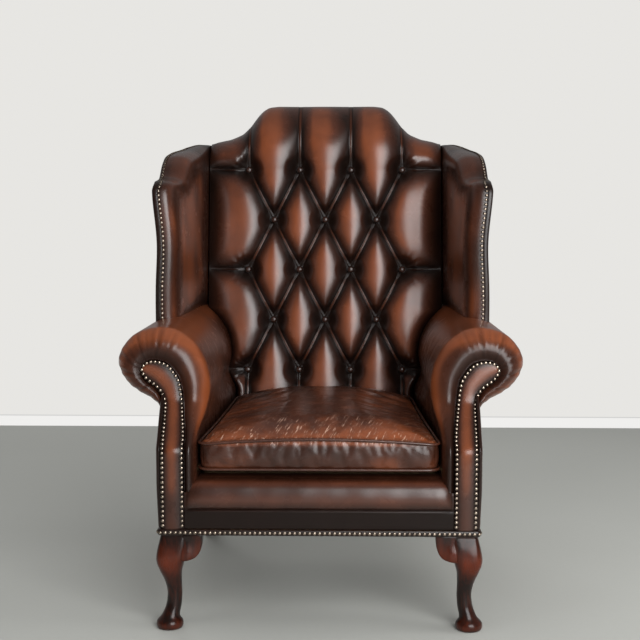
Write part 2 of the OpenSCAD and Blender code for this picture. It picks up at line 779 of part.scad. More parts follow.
// Inset of the roll's shoulders, and shares of the pad and of the board there
shoulder_inset = band_wrap / 3;
shoulder_pad = 0.4;
front_board = 0.35;
module wing_band() {
    color(leather) placed() loft([
        for (p = wing_path)
            let (q = inset(p, band_wrap), m = inset(p, shoulder_inset))
            [[wing_board_in(q[0], q[1]) - wing_pad * pad_fade(q[0]), q[0], q[1]],
             [wing_board_in(m[0], m[1]) - shoulder_pad * wing_pad * pad_fade(m[0]), m[0], m[1]],
             [wing_board_in(p[0], p[1]) + front_board * wing_board, p[0], p[1]],
             [wing_out(p[0], p[1]) - leather_thick, p[0], p[1]],
             [wing_out(m[0], m[1]), m[0], m[1]],
             [wing_out(q[0], q[1]), q[0], q[1]]]
    ], ladder(band_points));
}
module wing_band_right() { wing_band(); }
module wing_band_left() { twin() wing_band(); }

// Leather panel outside the wing, as far as the back of the posts
panel_top = wing_top - band_wrap - overrun;
outside_wing_loop = concat(
    [for (p = wing_path) if (p[0] < post_front(p[1])) wing_inset(p)],
    [for (z = [panel_top, (panel_top + wing_base) / 2, wing_base]) [post_back(z), z]],
    [for (d = wing_foot) [d, wing_base]]
);
module outside_wing() {
    color(leather_dark) placed() loft([
        for (t = [0, leather_thick - gap])
            [for (p = outside_wing_loop) [wing_out(p[0], p[1]) - t, p[0], p[1]]]
    ]);
}
module outside_wing_right() { outside_wing(); }
module outside_wing_left() { twin() outside_wing(); }

// Diamond-tufted inside back
function row_buttons(k) = k % 2 == 0 ? [-3, -1, 1, 3] : [-2, 0, 2];
button_places = [
    for (k = [0:button_rows - 1]) for (i = row_buttons(k)) [i * button_half_pitch, row_z(k)]
];
edge_button = 3 * button_half_pitch;
pleats = concat(
    [for (k = [0:button_rows - 2]) for (i = row_buttons(k)) for (j = row_buttons(k + 1))
        if (abs(i - j) == 1)
            [[i * button_half_pitch, row_z(k)], [j * button_half_pitch, row_z(k + 1)]]],
    [for (i = row_buttons(0)) for (end = [[top_row, back_height], [low_row, rail_top]])
        [[i * button_half_pitch, end[0]], [i * button_half_pitch, end[1]]]],
    [for (k = [0:2:button_rows - 1]) for (side = [-1, 1])
        [[side * edge_button, row_z(k)], [side * back_half, row_z(k)]]]
);
function reach(p, s) =
    let (run = s[1] - s[0], t = clamp((p - s[0]) * run / (run * run)))
    norm(p - s[0] - t * run);
tuft_reach = button_half_pitch * button_drop / norm([button_half_pitch, button_drop]);
dimple_near = 10;
dimple_far = 45;
function smooth(t) = t * t * (3 - 2 * t);
function tuft(x, z) =
    let (fold = clamp(min([for (s = pleats) reach([x, z], s)]) / tuft_reach))
    let (near = min([for (b = button_places) norm([x, z] - b)]))
    let (dimple = smooth(clamp((near - dimple_near) / (dimple_far - dimple_near))))
    tuft_height * fold * (2 - fold) * dimple;
// The back narrows beside the arms
arm_sides = [for (r = arm_rungs(1)) r[0]];
last_low_rung = 7;
frame_rungs = [7, 6, 4, 3, 2];
back_sides = concat(
    [[rail_top, arm_leather(1)]],
    [for (i = [1:last_low_rung]) [arm_sides[i][1], arm_sides[i][0]]],
    [[wing_base, back_half]]
);
back_clear = 8;
function back_side(z) = min(back_half, lookup(z, back_sides) - back_clear);
column_steps = 24;
side_steps = 4;
// Columns across, as a share of the buttoned width or of the strip beside it
columns = concat(
    [for (i = [side_steps:-1:1]) [1, i / side_steps]],
    [for (i = [0:column_steps]) [0, 1 - 2 * i / column_steps]],
    [for (i = [1:side_steps]) [-1, i / side_steps]]
);
function side_fade(c) = c[0] == 0 ? 1 : 1 - pow(c[1], 4);
least_side = 4;
function column_x(c, z) = c[0] == 0 ? c[1] * min(edge_button, back_side(z) - least_side) :
    c[0] * lerp(min(edge_button, back_side(z) - least_side), back_side(z), c[1]);
back_bottom = deck_top + gap;
rows_below = 3;
rows_between = 16;
row_heights = concat(
    [for (i = [0:rows_below - 1]) lerp(back_bottom, low_row, i / rows_below)],
    [for (i = [0:rows_between]) lerp(low_row, top_row, i / rows_between)]
);
crest_angles = [18, 36, 54, 72, 90];
crest_play = 2;
rail_run = board_thick / cos(recline);
// Share of the way back and down where the crest turns over
crest_turn = [0.7, 0.3];
// Heights of the points on the frame side, from the top of the posts down
frame_heights = concat(
    [post_top, wing_base], [for (i = frame_rungs) arm_sides[i][1]], [back_bottom]
);
function crest_point(c, a) =
    let (x = column_x(c, top_row), top = crest_top(x))
    let (z = top_row + (top - top_row) * sin(a), apex = post_front(top) + crest_apex)
    [x, lerp(apex, button_depth(top_row), cos(a)) - tuft(x, z) * cos(a) * side_fade(c), z];
function back_column(c) =
    let (x = column_x(c, top_row), top = crest_top(x))
    concat(
        [for (z = row_heights)
            [column_x(c, z), button_depth(z) - tuft(column_x(c, z), z) * side_fade(c), z]],
        [for (a = crest_angles) crest_point(c, a)],
        [[x, post_front(top) + crest_apex + crest_turn[0] * crest_back,
            top - crest_turn[1] * crest_drop],
         [x, post_front(top) + crest_apex + crest_back, top - crest_drop],
         [x, post_front(top - crest_drop) + rail_run + gap, top - crest_drop],
         [x, post_front(top - crest_cover) + rail_run + gap, top - crest_cover + crest_play],
         [x, post_front(top - crest_cover) - gap, top - crest_cover + crest_play],
         [x, post_front(post_top) - gap, post_top]],
        [for (z = frame_heights) [column_x(c, z), button_depth(z) + quilt, z]]
    );
// Each point of the front has its partner on the frame side of the pad
front_count = len(row_heights) + len(crest_angles);
rear_count = 6;
column_count = front_count + rear_count + len(frame_heights);
function above(z) = len([for (h = frame_heights) if (h > z) h]);
back_partners = concat(
    [for (z = row_heights)
        front_count + rear_count + min(len(frame_heights) - 1, above(z))],
    [for (k = crest_angles) front_count + 4],
    [front_count + 3, front_count + 2]
);
module inside_back() {
    color(leather) placed() loft([for (c = columns) back_column(c)], back_partners, true);
}

// Stuffing behind the buttoned leather
foam_front = button_inset - quilt - overrun;
foam_step = 6;
module back_foam() {
    low = arm_leather(1) - foam_step;
    high = post_inner - overrun;
    color(foam) placed() leaning() backward(-foam_front, foam_front - gap) polygon([
        [-low, up(back_bottom)], [low, up(back_bottom)], [low, up(wing_base)],
        [high, up(wing_base) + foam_step], [high, up(post_top) - 2 * foam_step],
        [-high, up(post_top) - 2 * foam_step], [-high, up(wing_base) + foam_step],
        [-low, up(wing_base)]
    ]);
}

// Leather-covered buttons, each on its short stem
button_thick = 7;
stem_radius = 1.5;
stem_length = 4.6;
stem_start = 0.95;
button_shares = [[0, 1], [0.5, 0.92], [0.85, 0.62], [1, 0.25], [0.95, 0]];
button_sides = 24;
module button() {
    rotate([90, 0, 0]) rotate_extrude($fn = button_sides) polygon(concat(
        [for (p = button_shares) [p[0] * button_radius, stem_length + p[1] * button_thick]],
        [[stem_radius, stem_length], [stem_radius, stem_start], [0, stem_start]]
    ));
}
module back_buttons() {
    color(leather_dark) placed() for (b = button_places)
        translate([b[0], button_depth(b[1]), b[1]]) button();
}

// Leather panel over the back of the chair, bent where the posts begin to lean
module outside_back() {
    half = rear_half + leather_thick - gap;
    foot = post_back(rail_top) + gap;
    head = post_back(back_height) + gap;
    color(leather_dark) placed() intersection() {
        across(-half, 2 * half) polygon([
            [foot, panel_bottom], [foot, rail_top], [head, back_height],
            [head + leather_thick, back_height], [foot + leather_thick, rail_top],
            [foot + leather_thick, panel_bottom]
        ]);
        backward(post_depth, rear_reach) polygon(concat(
            [for (p = crest_line) [p[0], p[1] - crest_drop - crest_play]],
            [[half, wing_top - crest_drop], [half, 0], [-half, 0], [-half, wing_top - crest_drop]],
            [for (i = [len(crest_line) - 1:-1:1])
                [-crest_line[i][0], crest_line[i][1] - crest_drop - crest_play]]
        ));
    }
}

// Loose seat cushion
cushion_sides = 10;
corner_round = 26;
side_draw = 3;
corner_step = 30;
corner_shrink = 3;
least_round = 6;
hide_thick = 3;
front_arch = 12;
function cushion_width(d) =
    let (t = clamp((d - cushion_front) / (cushion_rear - cushion_front)))
    lerp(cushion_half, cushion_half_rear, t) - side_draw * sin(180 * t);
// Outline of the cushion drawn in by an amount, anticlockwise from the front left
function cushion_loop(by) =
    let (f = cushion_front + by, r = cushion_rear - by)
    let (c = max(corner_round - by / corner_shrink, least_round))
    let (side = [for (i = [0:cushion_sides]) lerp(f + c, r - c, i / cushion_sides)])
    let (wf = cushion_width(f + c) - by, wr = cushion_width(r - c) - by)
    concat(
        [for (a = [0:corner_step:90 - corner_step]) [-wf + c - c * sin(90 - a), f + c - c * cos(90 - a)]],
        [for (i = [1:cushion_sides - 1]) [lerp(-wf + c, wf - c, i / cushion_sides), f]],
        [for (a = [0:corner_step:90]) [wf - c + c * sin(a), f + c - c * cos(a)]],
        [for (i = [1:cushion_sides - 1]) [cushion_width(side[i]) - by, side[i]]],
        [for (a = [0:corner_step:90]) [wr - c + c * cos(a), r - c + c * sin(a)]],
        [for (i = [1:cushion_sides - 1]) [lerp(wr - c, -wr + c, i / cushion_sides), r]],
        [for (a = [0:corner_step:90]) [-wr + c - c * sin(a), r - c + c * cos(a)]],
        [for (i = [cushion_sides - 1:-1:1]) [-cushion_width(side[i]) + by, side[i]]]
    );
boxing_belly = 0.12;
piping_shares = [0.06, 0.96];
// Drawn in by, height share of the boxing and share of the crown
cushion_shares = [
    [0.5, 0, 0], [0.1, 0.01, 0], [0, piping_shares[0], 0], [-boxing_belly, 0.5, 0],
    [0, piping_shares[1], 0], [0.25, 1, 0.2],
    [1.2, 1, 0.62], [3, 1, 0.88], [5.2, 1, 1]
];
cushion_inset = 26;
function cushion_z(p, s, shrink) =
    let (arch = front_arch * (1 - pow(p[0] / cushion_half, 2)))
    cushion_base + shrink + s[1] * (cushion_boxing - 2 * shrink) + s[1] * s[1] * arch
        + s[2] * (cushion_crown - front_arch);
function cushion_rings(shrink) = [
    for (s = cushion_shares)
        [for (p = cushion_loop(2 * piping_radius + shrink + s[0] * cushion_inset))
            [p[0], p[1], cushion_z(p, s, shrink)]]
];
module cushion_cover() {
    color(leather) placed() difference() {
        loft(cushion_rings(0));
        loft(cushion_rings(hide_thick));
    }
}
module cushion_core() {
    color(foam) placed() loft(cushion_rings(hide_thick + gap));
}
piping_sides = 6;
function tube(path, radius) = [
    for (i = [0:len(path)])
        let (n = len(path), p = path[i % n], q = path[(i + 1) % n], o = path[(i + n - 1) % n])
        let (run = q - o, out = [run[1], -run[0]] / norm([run[0], run[1]]))
        [for (k = [0:piping_sides - 1])
            let (a = 360 * k / piping_sides)
            [p[0] + out[0] * radius * cos(a), p[1] + out[1] * radius * cos(a), p[2] + radius * sin(a)]]
];
module ring_tube(path) {
    rings = tube(path, piping_radius);
    n = piping_sides;
    m = len(path);
    polyhedron(
        points = [for (i = [0:m - 1]) each rings[i]],
        faces = [for (i = [0:m - 1]) for (j = [0:n - 1]) for (half = [0, 1])
            let (a = i * n + j, b = i * n + (j + 1) % n, c = ((i + 1) % m) * n)
            half == 0 ? [a, b, c + (j + 1) % n] : [a, c + (j + 1) % n, c + j]]
    );
}
module cushion_piping() {
    color(leather_dark) placed() for (share = piping_shares)
        ring_tube([for (p = cushion_loop(piping_radius - gap))
            [p[0], p[1], cushion_z(p, [0, share, 0], 0)]]);
}

// Zip along the back boxing of the cushion, with its slider
zip_half = 150;
zip_height = 14;
zip_thick = 1.5;
zip_teeth = 5;
zip_z = cushion_base + cushion_boxing / 2;
zip_depth = cushion_rear - 2 * piping_radius + boxing_belly * cushion_inset + gap;
module cushion_zip() {
    color(tape_brown) placed() {
        translate([-zip_half, zip_depth, zip_z - zip_height / 2])
            cube([2 * zip_half, zip_thick, zip_height]);
    }
}
slider_length = 12;
slider_height = 9;
slider_thick = 2.5;
module zip_slider() {
    color(brass) placed() translate([zip_half - slider_length - zip_teeth,
        zip_depth + zip_thick + gap, zip_z - slider_height / 2])
        cube([slider_length, slider_thick, slider_height]);
}

front_leg_left();
front_leg_right();
knee_blocks();
back_post_left();
back_post_right();
front_rail();
side_rail_left();
side_rail_right();
back_rail();
corner_blocks();
arm_stump_left();
arm_stump_right();
arm_rail_left();
arm_rail_right();
arm_stay_left();
arm_stay_right();
crest_rail();
lower_back_rail();
wing_post_left();
wing_post_right();
wing_rail_left();
wing_rail_right();
seat_webbing();
back_webbing();
seat_deck();
front_border();
border_band();
dust_cover();
inside_arm_left();
inside_arm_right();
arm_facing_left();
arm_facing_right();
outside_arm_left();
outside_arm_right();
arm_end_left();
arm_end_right();
inside_wing_left();
inside_wing_right();
outside_wing_left();
outside_wing_right();
wing_band_left();
wing_band_right();
inside_back();
back_foam();
back_buttons();
outside_back();
cushion_cover();
cushion_core();
cushion_piping();
cushion_zip();
zip_slider();
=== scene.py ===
"""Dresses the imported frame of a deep-buttoned leather wing chair: hides, nails, buttons and polished legs."""

import json
import math

import bmesh
import bpy
import numpy as np
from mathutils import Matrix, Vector


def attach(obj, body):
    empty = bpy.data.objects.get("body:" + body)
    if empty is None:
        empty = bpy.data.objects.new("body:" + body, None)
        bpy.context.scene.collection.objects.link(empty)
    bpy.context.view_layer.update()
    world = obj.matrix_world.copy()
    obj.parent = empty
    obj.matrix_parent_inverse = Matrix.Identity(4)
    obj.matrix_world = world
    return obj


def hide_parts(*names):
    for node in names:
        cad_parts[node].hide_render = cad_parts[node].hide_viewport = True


bl_info = {
    "name": "Buttoned Wing Chair",
    "version": (1, 0, 0),
    "blender": (4, 5, 0),
    "location": "View3D > Sidebar > Wing Chair",
    "description": "Builds a deep-buttoned leather wing chair round its packed frame",
    "category": "Add Mesh",
}

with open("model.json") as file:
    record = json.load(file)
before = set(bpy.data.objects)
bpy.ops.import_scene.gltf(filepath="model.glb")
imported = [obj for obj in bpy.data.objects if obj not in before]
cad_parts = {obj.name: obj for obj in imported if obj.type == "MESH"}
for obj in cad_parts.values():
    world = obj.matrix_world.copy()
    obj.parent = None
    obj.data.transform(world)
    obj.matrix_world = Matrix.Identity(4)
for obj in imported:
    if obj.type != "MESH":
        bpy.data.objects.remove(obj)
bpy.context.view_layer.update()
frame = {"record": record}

# Lengths below are in millimetres, with depths measured back from the front of the seat frame
MM = 0.001
LEG_HEIGHT = 198.0
RAIL_TOP = 288.0
POST_DEPTH = 644.0
POST_THICK = 34.0
LEAN = math.tan(math.radians(9.4))
FRAME_HALF = 320.0
REAR_HALF = 308.0
POST_INNER = 274.0
STUMP_INNER = 270.0
BACK_HEIGHT = 1084.0
CREST_RISE = 92.0
BACK_HALF = 286.0
TOP_ROW = 928.0
BUTTON_DROP = 121.0
HALF_PITCH = 62.7
BUTTON_INSET = 50.0
DECK_TOP = 329.0
ARM_HEIGHT = 598.0
ARM_RISE = ARM_HEIGHT - RAIL_TOP
KNUCKLE = 375.0
WING_FRONT = 302.0
WING_BASE = 602.0
EAR_HEIGHT = 905.0
WING_TOP = 990.0


def post_front(z):
    return POST_DEPTH + (z - RAIL_TOP) * LEAN


def post_back(z):
    return post_front(np.maximum(z, RAIL_TOP)) + POST_THICK


def button_depth(z):
    return post_front(z) - BUTTON_INSET


CREST_APEX = 14.0
CREST_BACK = 25.0
CREST_DROP = 22.0
TOE_REACH = 8.0
FRONT_Y = -(post_front(BACK_HEIGHT) + CREST_APEX + CREST_BACK + TOE_REACH) / 2 + TOE_REACH


def lerp(a, b, t):
    return a + (b - a) * t


def ease(t):
    t = np.clip(t, 0, 1)
    return t * t * (3 - 2 * t)


def peak(value, at, reach):
    """A bell curve: 1 at one value and almost 0 beyond twice the reach."""
    return np.exp(-(((value - at) / reach) ** 2))


def circle(count):
    """Evenly spaced angles of a full turn."""
    return np.linspace(0, 2 * math.pi, count, endpoint=False)


def run_along(path, room=1.0):
    """The length of a path up to each of its points; room shortens its steps."""
    return np.r_[0, np.cumsum(np.linalg.norm(np.diff(path, axis=0), axis=1) / room)]


def sampled(path, count, closed=False, room=1.0):
    """Evenly spaced points along a path; a closed one ends at its first point, which isn't given twice."""
    run = run_along(path, room)
    at = np.linspace(0, run[-1], count, endpoint=not closed)
    return np.stack([np.interp(at, run, column) for column in path.T], 1)


def outward(loop):
    """At each point of a closed path, the direction to the right of its way."""
    run = np.roll(loop, -1, 0) - np.roll(loop, 1, 0)
    return np.stack([run[:, 1], -run[:, 0]], 1) / np.maximum(np.linalg.norm(run, axis=1, keepdims=True), 1e-9)


def spline(points, count, closed=False):
    """Evenly spaced points along a smooth curve through the given ones."""
    p = np.asarray(points, float)
    n = len(p)
    steps = np.linspace(0, 1, 24, endpoint=False)[:, None]
    fine = []
    for i in range(n if closed else n - 1):
        a, b, c, d = (p[(i + k) % n if closed else min(max(i + k, 0), n - 1)] for k in (-1, 0, 1, 2))
        fine.append(0.5 * (2 * b + (c - a) * steps + (2 * a - 5 * b + 4 * c - d) * steps**2
                           + (3 * b - a - 3 * c + d) * steps**3))
    fine.append((p[0] if closed else p[-1])[None, :])
    return sampled(np.concatenate(fine), count, closed)


def softened(xs, ys, reach):
    """A table of heights with its corners rounded over a reach."""
    weights = np.exp(-np.linspace(-2.5, 2.5, 41) ** 2)
    offsets = np.linspace(-reach, reach, 41)
    weights /= weights.sum()
    return lambda v: sum(w * np.interp(np.asarray(v, float) + o, xs, ys) for w, o in zip(weights, offsets))


# Pieces

MERGE_GAP = 0.00002


def write_layer(mesh, layer, values):
    """Keeps one number for each point of a mesh, for its finish to read."""
    old = mesh.attributes.get(layer)
    if old:
        mesh.attributes.remove(old)
    data = mesh.attributes.new(layer, "FLOAT", "POINT").data
    data.foreach_set("value", np.asarray(values, np.float32))


def places_of(mesh):
    """The points of a mesh, in metres."""
    co = np.empty(len(mesh.vertices) * 3)
    mesh.vertices.foreach_get("co", co)
    return co.reshape(-1, 3)


def to_world(points):
    """Chair-space millimetres as metres in the frame."""
    place = np.asarray(points, float) * MM
    place[..., 1] += FRONT_Y * MM
    return place


def link(item):
    bpy.context.scene.collection.objects.link(item)
    return item


def add_piece(name, points, faces, rub, material, crease=0.0, sharp=None):
    """Makes an object of chair-space points, with how rubbed its finish is at each one and how dark its folds are;
    both also carry painted light and shade.
    """
    co = to_world(points).reshape(-1, 3)
    mesh = bpy.data.meshes.new(name)
    mesh.from_pydata(co.tolist(), [], faces)
    for layer, values in {"rub": rub, "crease": crease}.items():
        write_layer(mesh, layer, np.broadcast_to(np.ravel(values), len(co)))
    shape = bmesh.new()
    shape.from_mesh(mesh)
    bmesh.ops.remove_doubles(shape, verts=shape.verts, dist=MERGE_GAP)
    bmesh.ops.recalc_face_normals(shape, faces=shape.faces)
    for face in shape.faces:
        face.smooth = True
    if sharp:
        for edge in shape.edges:
            if len(edge.link_faces) == 2 and edge.calc_face_angle() > math.radians(sharp):
                edge.smooth = False
    shape.to_mesh(mesh)
    shape.free()
    mesh.materials.append(material)
    return link(bpy.data.objects.new(name, mesh))


def seat(piece, body, slot, replaces=(), fill=None):
    """Hands a finished piece to the frame."""
    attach(piece, body)
    if replaces:
        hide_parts(*replaces)
    return piece


def make_plain(piece):
    """Turns what the modifiers make into the piece's own plain mesh."""
    made = bpy.data.meshes.new_from_object(piece.evaluated_get(bpy.context.evaluated_depsgraph_get()))
    piece.modifiers.clear()
    old, piece.data = piece.data, made
    bpy.data.meshes.remove(old)
    made.name = piece.name
    return made


def sheet_faces(rows, across, wrap=False):
    """Four-sided faces between neighbouring rows of points."""
    i = np.arange(rows - 1)[:, None] * across
    j = np.arange(across if wrap else across - 1)[None, :]
    k = (j + 1) % across
    return np.stack([i + j, i + k, i + across + k, i + across + j], -1).reshape(-1, 4).tolist()


def tube_faces(rings, around):
    """Faces of a run of closed rings with both ends capped."""
    last = (rings - 1) * around
    return sheet_faces(rings, around, True) + [list(range(around))[::-1], list(range(last, last + around))]


def round_faces(rings, around):
    """Faces of a run of closed rings whose last one joins the first."""
    return (np.array(sheet_faces(rings + 1, around, True)) % (rings * around)).tolist()


def mirrored(points):
    twin = np.array(points, float)
    twin[..., 0] *= -1
    return twin


# Finishes


def opaque(colour):
    """A plain colour with full alpha; a linked socket stays as it is."""
    return colour if isinstance(colour, bpy.types.NodeSocket) else (*colour[:3], 1.0)


def lerp_colour(a, b, t):
    return tuple(lerp(x, y, t) for x, y in zip(a[:3], b[:3]))


class Amount:
    """A number socket of a finish; Python's operators on it add Math nodes."""

    def __init__(self, finish, socket):
        self.finish = finish
        self.socket = socket

    def __add__(self, other):
        return self.finish.maths("ADD", self, other)

    __radd__ = __add__

    def __sub__(self, other):
        return self.finish.maths("SUBTRACT", self, other)

    def __rsub__(self, other):
        return self.finish.maths("SUBTRACT", other, self)

    def __mul__(self, other):
        return self.finish.maths("MULTIPLY", self, other)

    __rmul__ = __mul__

    def between(self, low, high):
        """Eases from 0 at low to 1 at high."""
        node = self.finish.node(
            "ShaderNodeMapRange", {"interpolation_type": "SMOOTHSTEP"},
            {"Value": self, "From Min": low, "From Max": high},
        )
        return Amount(self.finish, node.outputs[0])


class Finish:
    """A procedural material, built from one surface shader."""

    def __init__(self, name, **constants):
        self.material = bpy.data.materials.new(name)
        self.material.use_nodes = True
        self.tree = self.material.node_tree
        self.tree.nodes.clear()
        self.output = self.node("ShaderNodeOutputMaterial")
        self.shader = self.node("ShaderNodeBsdfPrincipled")
        self.feed(self.output.inputs[0], self.shader.outputs[0])
        for key, value in constants.items():
            self.shader.inputs[key.replace("_", " ").title().replace("Ior", "IOR")].default_value = value
        self.place = self.node("ShaderNodeTexCoord").outputs["Object"]

    def node(self, kind, settings=None, inputs=None):
        """Adds a node, with its settings first and then the values or links of its sockets."""
        node = self.tree.nodes.new(kind)
        for key, value in (settings or {}).items():
            if key == "stops":
                self.set_stops(node.color_ramp, value)
            else:
                setattr(node, key, value)
        for key, value in (inputs or {}).items():
            self.feed(self.input_of(node, key), value)
        return node

    @staticmethod
    def set_stops(ramp, stops):
        while len(ramp.elements) < len(stops):
            ramp.elements.new(0.5)
        for element, (position, colour) in zip(ramp.elements, stops):
            element.position = position
            element.color = opaque(colour)

    @staticmethod
    def input_of(node, key):
        if isinstance(key, int):
            return node.inputs[key]
        return next((s for s in node.inputs if s.identifier == key), None) or node.inputs[key]

    def feed(self, socket, value):
        if isinstance(value, Amount):
            value = value.socket
        if isinstance(value, bpy.types.NodeSocket):
            self.tree.links.new(value, socket)
        else:
            socket.default_value = value

    def maths(self, operation, *values):
        node = self.node("ShaderNodeMath", {"operation": operation}, dict(enumerate(values)))
        return Amount(self, node.outputs[0])

    def layer(self, name):
        node = self.node("ShaderNodeAttribute", {"attribute_name": name})
        return Amount(self, node.outputs["Fac"])

    def axes(self):
        """The place along each axis, in metres."""
        return [Amount(self, s) for s in self.node("ShaderNodeSeparateXYZ", {}, {0: self.place}).outputs]

    def stretched(self, scale, turn=(0, 0, 0)):
        node = self.node("ShaderNodeMapping", {"vector_type": "TEXTURE"}, {
            "Vector": self.place, "Scale": [1 / s for s in scale], "Rotation": turn,
        })
        return node.outputs[0]

    def noise(self, scale, detail=2.0, roughness=0.5, place=None, distortion=0.0):
        node = self.node("ShaderNodeTexNoise", {}, {
            "Vector": place or self.place, "Scale": scale, "Detail": detail,
            "Roughness": roughness, "Distortion": distortion,
        })
        return Amount(self, node.outputs[0])

    def cells(self, scale):
        node = self.node("ShaderNodeTexVoronoi", {}, {"Vector": self.place, "Scale": scale})
        return Amount(self, node.outputs["Distance"])

    def blend(self, factor, first, second):
        node = self.node("ShaderNodeMix", {"data_type": "RGBA"}, {
            "Factor_Float": factor, "A_Color": opaque(first), "B_Color": opaque(second),
        })
        return next(s for s in node.outputs if s.identifier == "Result_Color")

    def ramp(self, amount, stops):
        return self.node("ShaderNodeValToRGB", {"stops": stops}, {"Fac": amount}).outputs[0]

    def bump(self, height, strength, distance, under=None):
        inputs = {"Height": height, "Strength": strength, "Distance": distance}
        if under is not None:
            inputs["Normal"] = under
        return self.node("ShaderNodeBump", {}, inputs).outputs[0]

    def show(self, **links):
        for key, value in links.items():
            self.feed(self.shader.inputs[key.replace("_", " ").title()], value)
        return self.material


def hide_finish(name, colours, tone=0.0, mottle=0.5, wear=0.0):
    """Antiqued hide: a dark glaze and painted shade in the folds over a red-brown base that shows where it is rubbed
    and where highlights are painted.
    """
    finish = Finish(name, coat_roughness=0.32, specular_ior_level=0.16)
    rub = finish.layer("rub")
    crease = finish.layer("crease")
    patches = finish.noise(6.5, 3.0, 0.55)
    smudges = finish.noise(26.0, 4.0, 0.6, distortion=0.4)
    specks = finish.noise(260.0, 3.0, 0.6)
    level = rub + tone + (patches - 0.5) * mottle + (smudges - 0.5) * (0.45 * mottle) + (specks - 0.5) * 0.04
    colour = finish.ramp(level, [
        (0.0, colours.hide_dark), (0.34, lerp_colour(colours.hide_dark, colours.hide_mid, 0.45)),
        (0.6, colours.hide_mid), (1.0, colours.hide_bright),
    ])
    # Darkens towards the glazed tone by the fold layer, which carries glaze and painted shade.
    colour = finish.blend(crease * 0.92, colour, colours.hide_dark)
    if wear:
        scuffs = finish.layer("scuff")
        streaks = finish.noise(10.0, 3.0, 0.6, finish.stretched((26, 1.3, 8), (0, 0, math.radians(-17))))
        fine = finish.noise(10.0, 3.0, 0.6, finish.stretched((60, 2.2, 8), (0, 0, math.radians(-21))))
        lines = (streaks.between(0.57, 0.7) + fine.between(0.6, 0.74) * 0.6) * scuffs * wear
        colour = finish.blend(lines, colour, colours.hide_scuff)
    grain = finish.cells(760.0)
    pores = finish.noise(1500.0, 2.0)
    folds = finish.noise(70.0, 3.0, 0.6, distortion=1.2)
    normal = finish.bump(folds, 0.045, 0.001)
    normal = finish.bump(grain + pores * 0.5, 0.16, 0.00028, normal)
    roughness = 0.29 - level * 0.04 + (smudges - 0.5) * 0.12 + crease * 0.04
    return finish.show(base_color=colour, roughness=roughness, normal=normal, coat_weight=0.82 - crease * 0.76)


# The buttoned back

CREST_SHARES = [
    (0, 1), (0.42, 1), (0.5, 0.97), (0.555, 0.86), (0.6, 0.7), (0.655, 0.46),
    (0.725, 0.24), (0.83, 0.1), (1, 0),
]
CREST_X = [share * BACK_HALF for share, _ in CREST_SHARES]
CREST_Z = [BACK_HEIGHT - CREST_RISE * (1 - rise) for _, rise in CREST_SHARES]
crest_curve = softened(CREST_X, CREST_Z, 16)


def crest_top(x):
    return crest_curve(np.abs(x))


ROWS = 5
LOW_ROW = TOP_ROW - (ROWS - 1) * BUTTON_DROP
EDGE_BUTTON = 3 * HALF_PITCH


def row_buttons(k):
    return (-3, -1, 1, 3) if k % 2 == 0 else (-2, 0, 2)


BUTTONS = [(i * HALF_PITCH, TOP_ROW - k * BUTTON_DROP) for k in range(ROWS) for i in row_buttons(k)]


def pleat_lines():
    """Every fold between buttons: both ends, then the half width of the folded strip at each end."""
    lines = []
    for k in range(ROWS - 1):
        for i in row_buttons(k):
            for j in row_buttons(k + 1):
                if abs(i - j) == 1:
                    a = (i * HALF_PITCH, TOP_ROW - k * BUTTON_DROP)
                    b = (j * HALF_PITCH, TOP_ROW - (k + 1) * BUTTON_DROP)
                    lines.append((a, b, 2.3, 3.4))
    for i in row_buttons(0):
        x = i * HALF_PITCH
        lines.append(((x, TOP_ROW), (x * 0.99, BACK_HEIGHT + 30), 2.6, 4.4))
        lines.append(((x, LOW_ROW), (x, RAIL_TOP), 2.4, 5.5))
    for k in range(0, ROWS, 2):
        for side in (-1, 1):
            z = TOP_ROW - k * BUTTON_DROP
            lines.append(((side * EDGE_BUTTON, z), (side * (BACK_HALF + 6), z + 2), 1.7, 1.2))
    return lines


